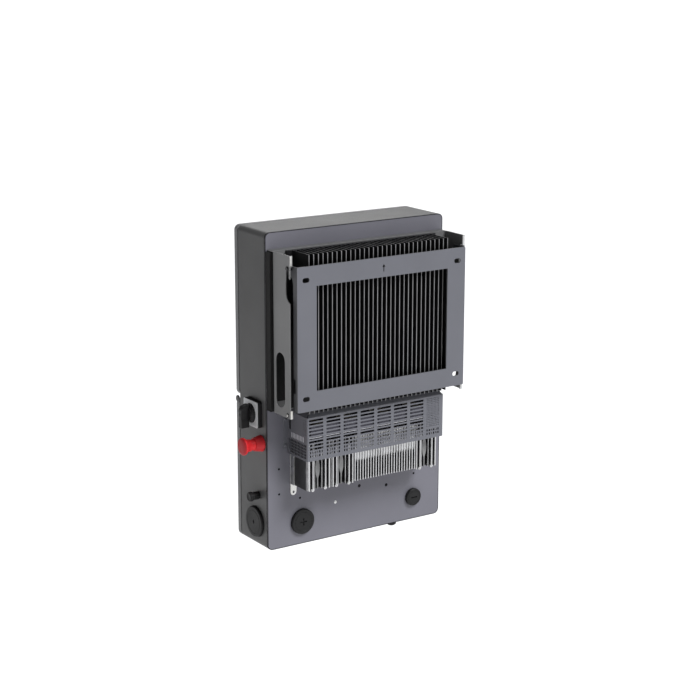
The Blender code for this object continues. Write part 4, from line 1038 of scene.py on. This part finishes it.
def make_back_fasteners():
    """The channel's details, the seam, a dark pad that paints the shade on the channel's web beside its walls,
    a rivet, and the lower cover's stud.
    """
    make_back_seam(make_channel_details())
    # Painted shade: a dark pad on the channel's web, inside its walls, where the web lies in shade.
    bm = bmesh.new()
    twin_blocks(bm, (0.198, behind(0.0206), up(0.364)), (0.2345, behind(0.0222), up(0.69)))
    piece("channel_painted_shade", bm, "rubber", rounding=0.0004)
    rivet = [(0.0, 0.0012), (0.0024, 0.0011), (0.0038, 0.0004), (0.004, 0.0001), (0.003, -0.001)]
    mesh = turned((0.0584, BACK, up(0.0849)), "+Y", rivet + [(0.0, -0.001)], 24)
    piece("back_bright_rivet", mesh, "zinc")
    stud = [(0.0, 0.0018), (0.0058, 0.0017), (0.0074, 0.0012), (0.0082, 0.0004), (0.0082, -0.0014)]
    mesh = turned((SIDE, inside(0.1303), up(0.338)), "+X", stud + [(0.0, -0.0014)], 32)
    piece("cover_stud", mesh, "paint", "lower_cover")


# ---------------------------------------------------------------- inside


def capacitor(bm, sleeve, vent, x, z):
    """Adds a can, its shrink sleeve with a beaded edge, and the cross in its end."""
    base, length, radius = inside(0.024), 0.0512, 0.0174
    can = [(0.0, length - 0.001), (radius - 0.004, length - 0.001), (radius - 0.0036, length - 0.0002)]
    can += [(radius - 0.0012, length - 0.0002), (radius - 0.0006, length - 0.001)]
    can += [(radius - 0.0006, 0.0), (0.0, 0.0)]
    lathe(bm, (x, base, z), "-Y", can, 36)
    ring = [(radius - 0.0016, length), (radius - 0.0002, length - 0.0004), (radius, length - 0.0014)]
    ring += [(radius, 0.0066), (radius - 0.0014, 0.006), (radius - 0.0014, 0.0046), (radius, 0.004)]
    ring += [(radius, 0.0002), (radius - 0.0016, 0.0002)]
    lathe(sleeve, (x, base, z), "-Y", ring, 36, closed=True)
    face = base - length + 0.0011
    for wide, tall in ((0.009, 0.0005), (0.0005, 0.009)):
        block(vent, (x - wide, face - 0.0003, z - tall), (x + wide, face + 0.0004, z + tall))


def chip(bm, legs, x, z, wide, tall, face):
    """A flat package on a board, with a row of legs on its two long sides."""
    block(bm, (x - wide / 2, face - 0.0022, z - tall / 2), (x + wide / 2, face - 0.0004, z + tall / 2))
    count = max(3, int(wide / 0.0025))
    for number in range(count):
        leg = x - wide / 2 + (number + 0.5) * wide / count
        for sign in (1, -1):
            edge = z + sign * tall / 2
            low, high_z = sorted((edge - sign * 0.0004, edge + sign * 0.0018))
            block(legs, (leg - 0.0005, face - 0.001, low), (leg + 0.0005, face - 0.0001, high_z))


def connector(bm, pins, x, z, ways, face):
    """An upright plug socket on a board: a frame with one well for each way, and a pin in each."""
    pitch, tall, deep, pin = 0.0051, 0.0085, 0.0095, 0.0005
    wide = ways * pitch + 0.002
    body, wells = bmesh.new(), bmesh.new()
    block(body, (x - wide / 2, face - deep, z - tall / 2), (x + wide / 2, face - 0.0001, z + tall / 2))
    for way in range(ways):
        middle, half = x + (way - (ways - 1) / 2) * pitch, pitch * 0.38
        block(wells, (middle - half, face - deep - 0.001, z - 0.003), (middle + half, face - 0.002, z + 0.003))
        low, high = (middle - pin, face - deep + 0.002, z - pin), (middle + pin, face - 0.0018, z + pin)
        block(pins, low, high)
    mesh = carved("socket", body, wells)
    bm.from_mesh(mesh)
    bpy.data.meshes.remove(mesh)


def make_electronics(name, chips, sockets, ways):
    """Chips, given as (x, z, wide, tall, face), and sockets, given as (x, z, face), on the boards."""
    bodies, legs, frames, pins = (bmesh.new() for _ in range(4))
    for x, z, wide, tall, face in chips:
        chip(bodies, legs, x, up(z), wide, tall, face)
    for x, z, face in sockets:
        connector(frames, pins, x, up(z), ways, face)
    piece(f"{name}_chips", bodies, "black_plastic", rounding=0.0002)
    piece(f"{name}_legs", legs, "zinc")
    piece(f"{name}_sockets", frames, "grey_plastic")
    piece(f"{name}_pins", pins, "copper")


def make_power_stage():
    """The capacitor bank, and what stands on the power board and the control board."""
    cans, sleeves, carrier = (bmesh.new() for _ in range(3))
    block(carrier, (-0.17, inside(0.0245), up(0.6)), (0.17, inside(0.0223), up(0.695)))
    for z in (0.624, 0.67):
        for column in range(5):
            capacitor(cans, sleeves, carrier, (column - 2) * 0.068, up(z))
    piece("capacitor_cans", cans, "aluminium")
    piece("capacitor_sleeves", sleeves, "black_plastic", node="dc_link_capacitors")
    piece("capacitor_carrier", carrier, "black_plastic")
    power, control = inside(0.022), inside(0.118)
    chips = [(-0.16, 0.56, 0.022, 0.014, power), (-0.16, 0.52, 0.014, 0.012, power)]
    chips += [(0.165, 0.56, 0.026, 0.012, power), (-0.08, 0.52, 0.03, 0.026, control)]
    chips += [(-0.03, 0.53, 0.018, 0.012, control), (0.02, 0.52, 0.024, 0.016, control)]
    chips += [(-0.08, 0.455, 0.02, 0.014, control), (0.075, 0.48, 0.034, 0.018, control)]
    chips += [(-0.01, 0.44, 0.014, 0.01, control), (0.03, 0.445, 0.012, 0.01, control)]
    make_electronics("board", chips, [(x, 0.405, power) for x in (0.075, 0.115, 0.155)], 5)


def make_wiring_bay():
    """The terminals' screws and walls, the surge protector's cartridges, and the small signal board."""
    screws, walls, cartridges = (bmesh.new() for _ in range(3))
    rows = ((0.01, 0.14, 6, 0.05, 0.215), (-0.215, -0.06, 5, 0.058, 0.205))
    top = 0.262
    for low_x, high_x, poles, reach, bottom in rows:
        pitch = (high_x - low_x) / poles
        for pole in range(poles):
            place = (low_x + (pole + 0.5) * pitch, inside(reach), up(top - 0.014))
            screw_head(screws, place, "-Y", min(pitch * 0.24, 0.0052), 0.0022)
        for pole in range(1, poles):
            x = low_x + pole * pitch
            near = (x - 0.0006, inside(reach + 0.003), up(bottom + 0.003))
            block(walls, near, (x + 0.0006, inside(reach - 0.001), up(top - 0.002)))
    dome = [(0.0, 0.0024), (0.0034, 0.0024), (0.0042, 0.0016), (0.0042, 0.0), (0.0, 0.0)]
    for number in range(6):
        lathe(screws, ((number - 2.5) * 0.02, inside(0.016), up(0.037)), "-Y", dome, 20)
    piece("terminal_screws", screws, "steel")
    piece("terminal_walls", walls, "grey_plastic", rounding=0.0002)
    for number in range(3):
        x = -0.0385 + number * 0.0135
        block(cartridges, (x - 0.0058, inside(0.0655), up(0.206)), (x + 0.0058, inside(0.0615), up(0.26)))
        block(cartridges, (x - 0.003, inside(0.0668), up(0.236)), (x + 0.003, inside(0.065), up(0.25)))
    piece("surge_cartridges", cartridges, "grey_plastic", rounding=0.0006)
    face = inside(0.0185)
    chips = [(-0.2, 0.16, 0.014, 0.01, face), (-0.16, 0.155, 0.022, 0.016, face)]
    chips.append((-0.195, 0.13, 0.01, 0.008, face))
    make_electronics("comms", chips, [(x, 0.108, face) for x in (-0.2, -0.17, -0.14)], 4)


# ---------------------------------------------------------------- CAD nodes


def finish_cad_node(node):
    """Gives a CAD node its finish, smooth round faces and small rounded edges."""
    made = frame["nodes"][node]
    mesh = made.data
    slot = next(part["material_slot"] for part in frame["record"]["subparts"] if part["node"] == node)
    mesh.materials.clear()
    mesh.materials.append(NODE_FINISHES.get(node, FINISHES[slot]))
    if "custom_normal" in mesh.attributes:
        mesh.attributes.remove(mesh.attributes["custom_normal"])
    mesh.shade_smooth()
    weld = made.modifiers.new("weld", "WELD")
    weld.merge_threshold = 0.00001
    flat = made.modifiers.new("flat", "DECIMATE")
    flat.decimate_type = "DISSOLVE"
    flat.angle_limit = math.radians(1.0)
    bevelled(made, 0.0004)


for name in frame["nodes"]:
    finish_cad_node(name)

make_guard()
make_guard_light_and_shade()
for number, centre in enumerate(CAN_CENTRES, 1):
    make_choke_can(number, centre)
make_choke_cooler()
make_choke_strip()
for number in range(1, 5):
    make_fan_rotor(number)
make_disconnect_plate()
make_disconnect_knob()
make_stop_button()
make_plugs()
make_glands()
make_front()
make_back_fasteners()
make_power_stage()
make_wiring_bay()

# ---------------------------------------------------------------- camera, light and floor

CAMERA_PLACE = Vector((2.1808, 3.1408, 1.0463))
CAMERA_AZIMUTH, CAMERA_ELEVATION, CAMERA_ROLL = 146.3666, 14.0084, 0.114
CAMERA_LENS = 88.74
FLOOR_DROP, FLOOR_HALF = 1.25, 120.0


def direction(azimuth, elevation):
    """The unit vector from the object towards an azimuth and elevation, in degrees."""
    a, e = math.radians(azimuth), math.radians(elevation)
    return Vector((math.sin(a) * math.cos(e), -math.cos(a) * math.cos(e), math.sin(e)))


def make_camera():
    """The camera, at the place and angle that the photo was taken from."""
    data = bpy.data.cameras.new("camera")
    data.lens = CAMERA_LENS
    data.sensor_width = 36.0
    data.clip_start, data.clip_end = 0.05, 500.0
    made = bpy.data.objects.new("camera", data)
    bpy.context.scene.collection.objects.link(made)
    back = direction(CAMERA_AZIMUTH, CAMERA_ELEVATION)
    roll = Matrix.Rotation(math.radians(CAMERA_ROLL), 4, "Z").to_quaternion()
    made.location = CAMERA_PLACE
    made.rotation_mode = "QUATERNION"
    made.rotation_quaternion = (-back).to_track_quat("-Z", "Y") @ roll
    bpy.context.scene.camera = made


def make_sun(name, azimuth, elevation, strength, colour, spread):
    """A soft light from far away."""
    data = bpy.data.lights.new(name, "SUN")
    data.energy = strength
    data.color = colour
    data.angle = math.radians(spread)
    made = bpy.data.objects.new(name, data)
    bpy.context.scene.collection.objects.link(made)
    made.rotation_mode = "QUATERNION"
    made.rotation_quaternion = direction(azimuth, elevation).to_track_quat("Z", "Y")


def make_stage():
    """The world, two soft lights and a plain pale floor."""
    scene = bpy.context.scene
    scene.view_settings.view_transform = "Standard"
    world = bpy.data.worlds.new("studio")
    world.use_nodes = True
    world.node_tree.nodes["Background"].inputs["Color"].default_value = (1.0, 1.0, 1.0, 1.0)
    world.node_tree.nodes["Background"].inputs["Strength"].default_value = 0.14
    scene.world = world
    make_sun("rear", 205.0, 48.0, 3.0, (0.97, 0.98, 1.0), 26.0)
    make_sun("front", 322.0, 42.0, 1.7, (1.0, 1.0, 1.0), 40.0)
    finish = Finish("floor", 0.6)
    tone = finish.between(finish.noise(0.7, 3.0), 0.0, 1.0)
    finish.colour(finish.colours(tone, (0.93, 0.93, 0.93), (0.96, 0.96, 0.96)))
    bm = bmesh.new()
    bmesh.ops.create_grid(bm, x_segments=1, y_segments=1, size=FLOOR_HALF)
    bmesh.ops.translate(bm, verts=bm.verts, vec=(0, 0, UNDERSIDE - FLOOR_DROP))
    mesh = bpy.data.meshes.new("floor")
    bm.to_mesh(mesh)
    bm.free()
    floor = bpy.data.objects.new("floor", mesh)
    mesh.materials.append(finish.material)
    scene.collection.objects.link(floor)


make_camera()
make_stage()
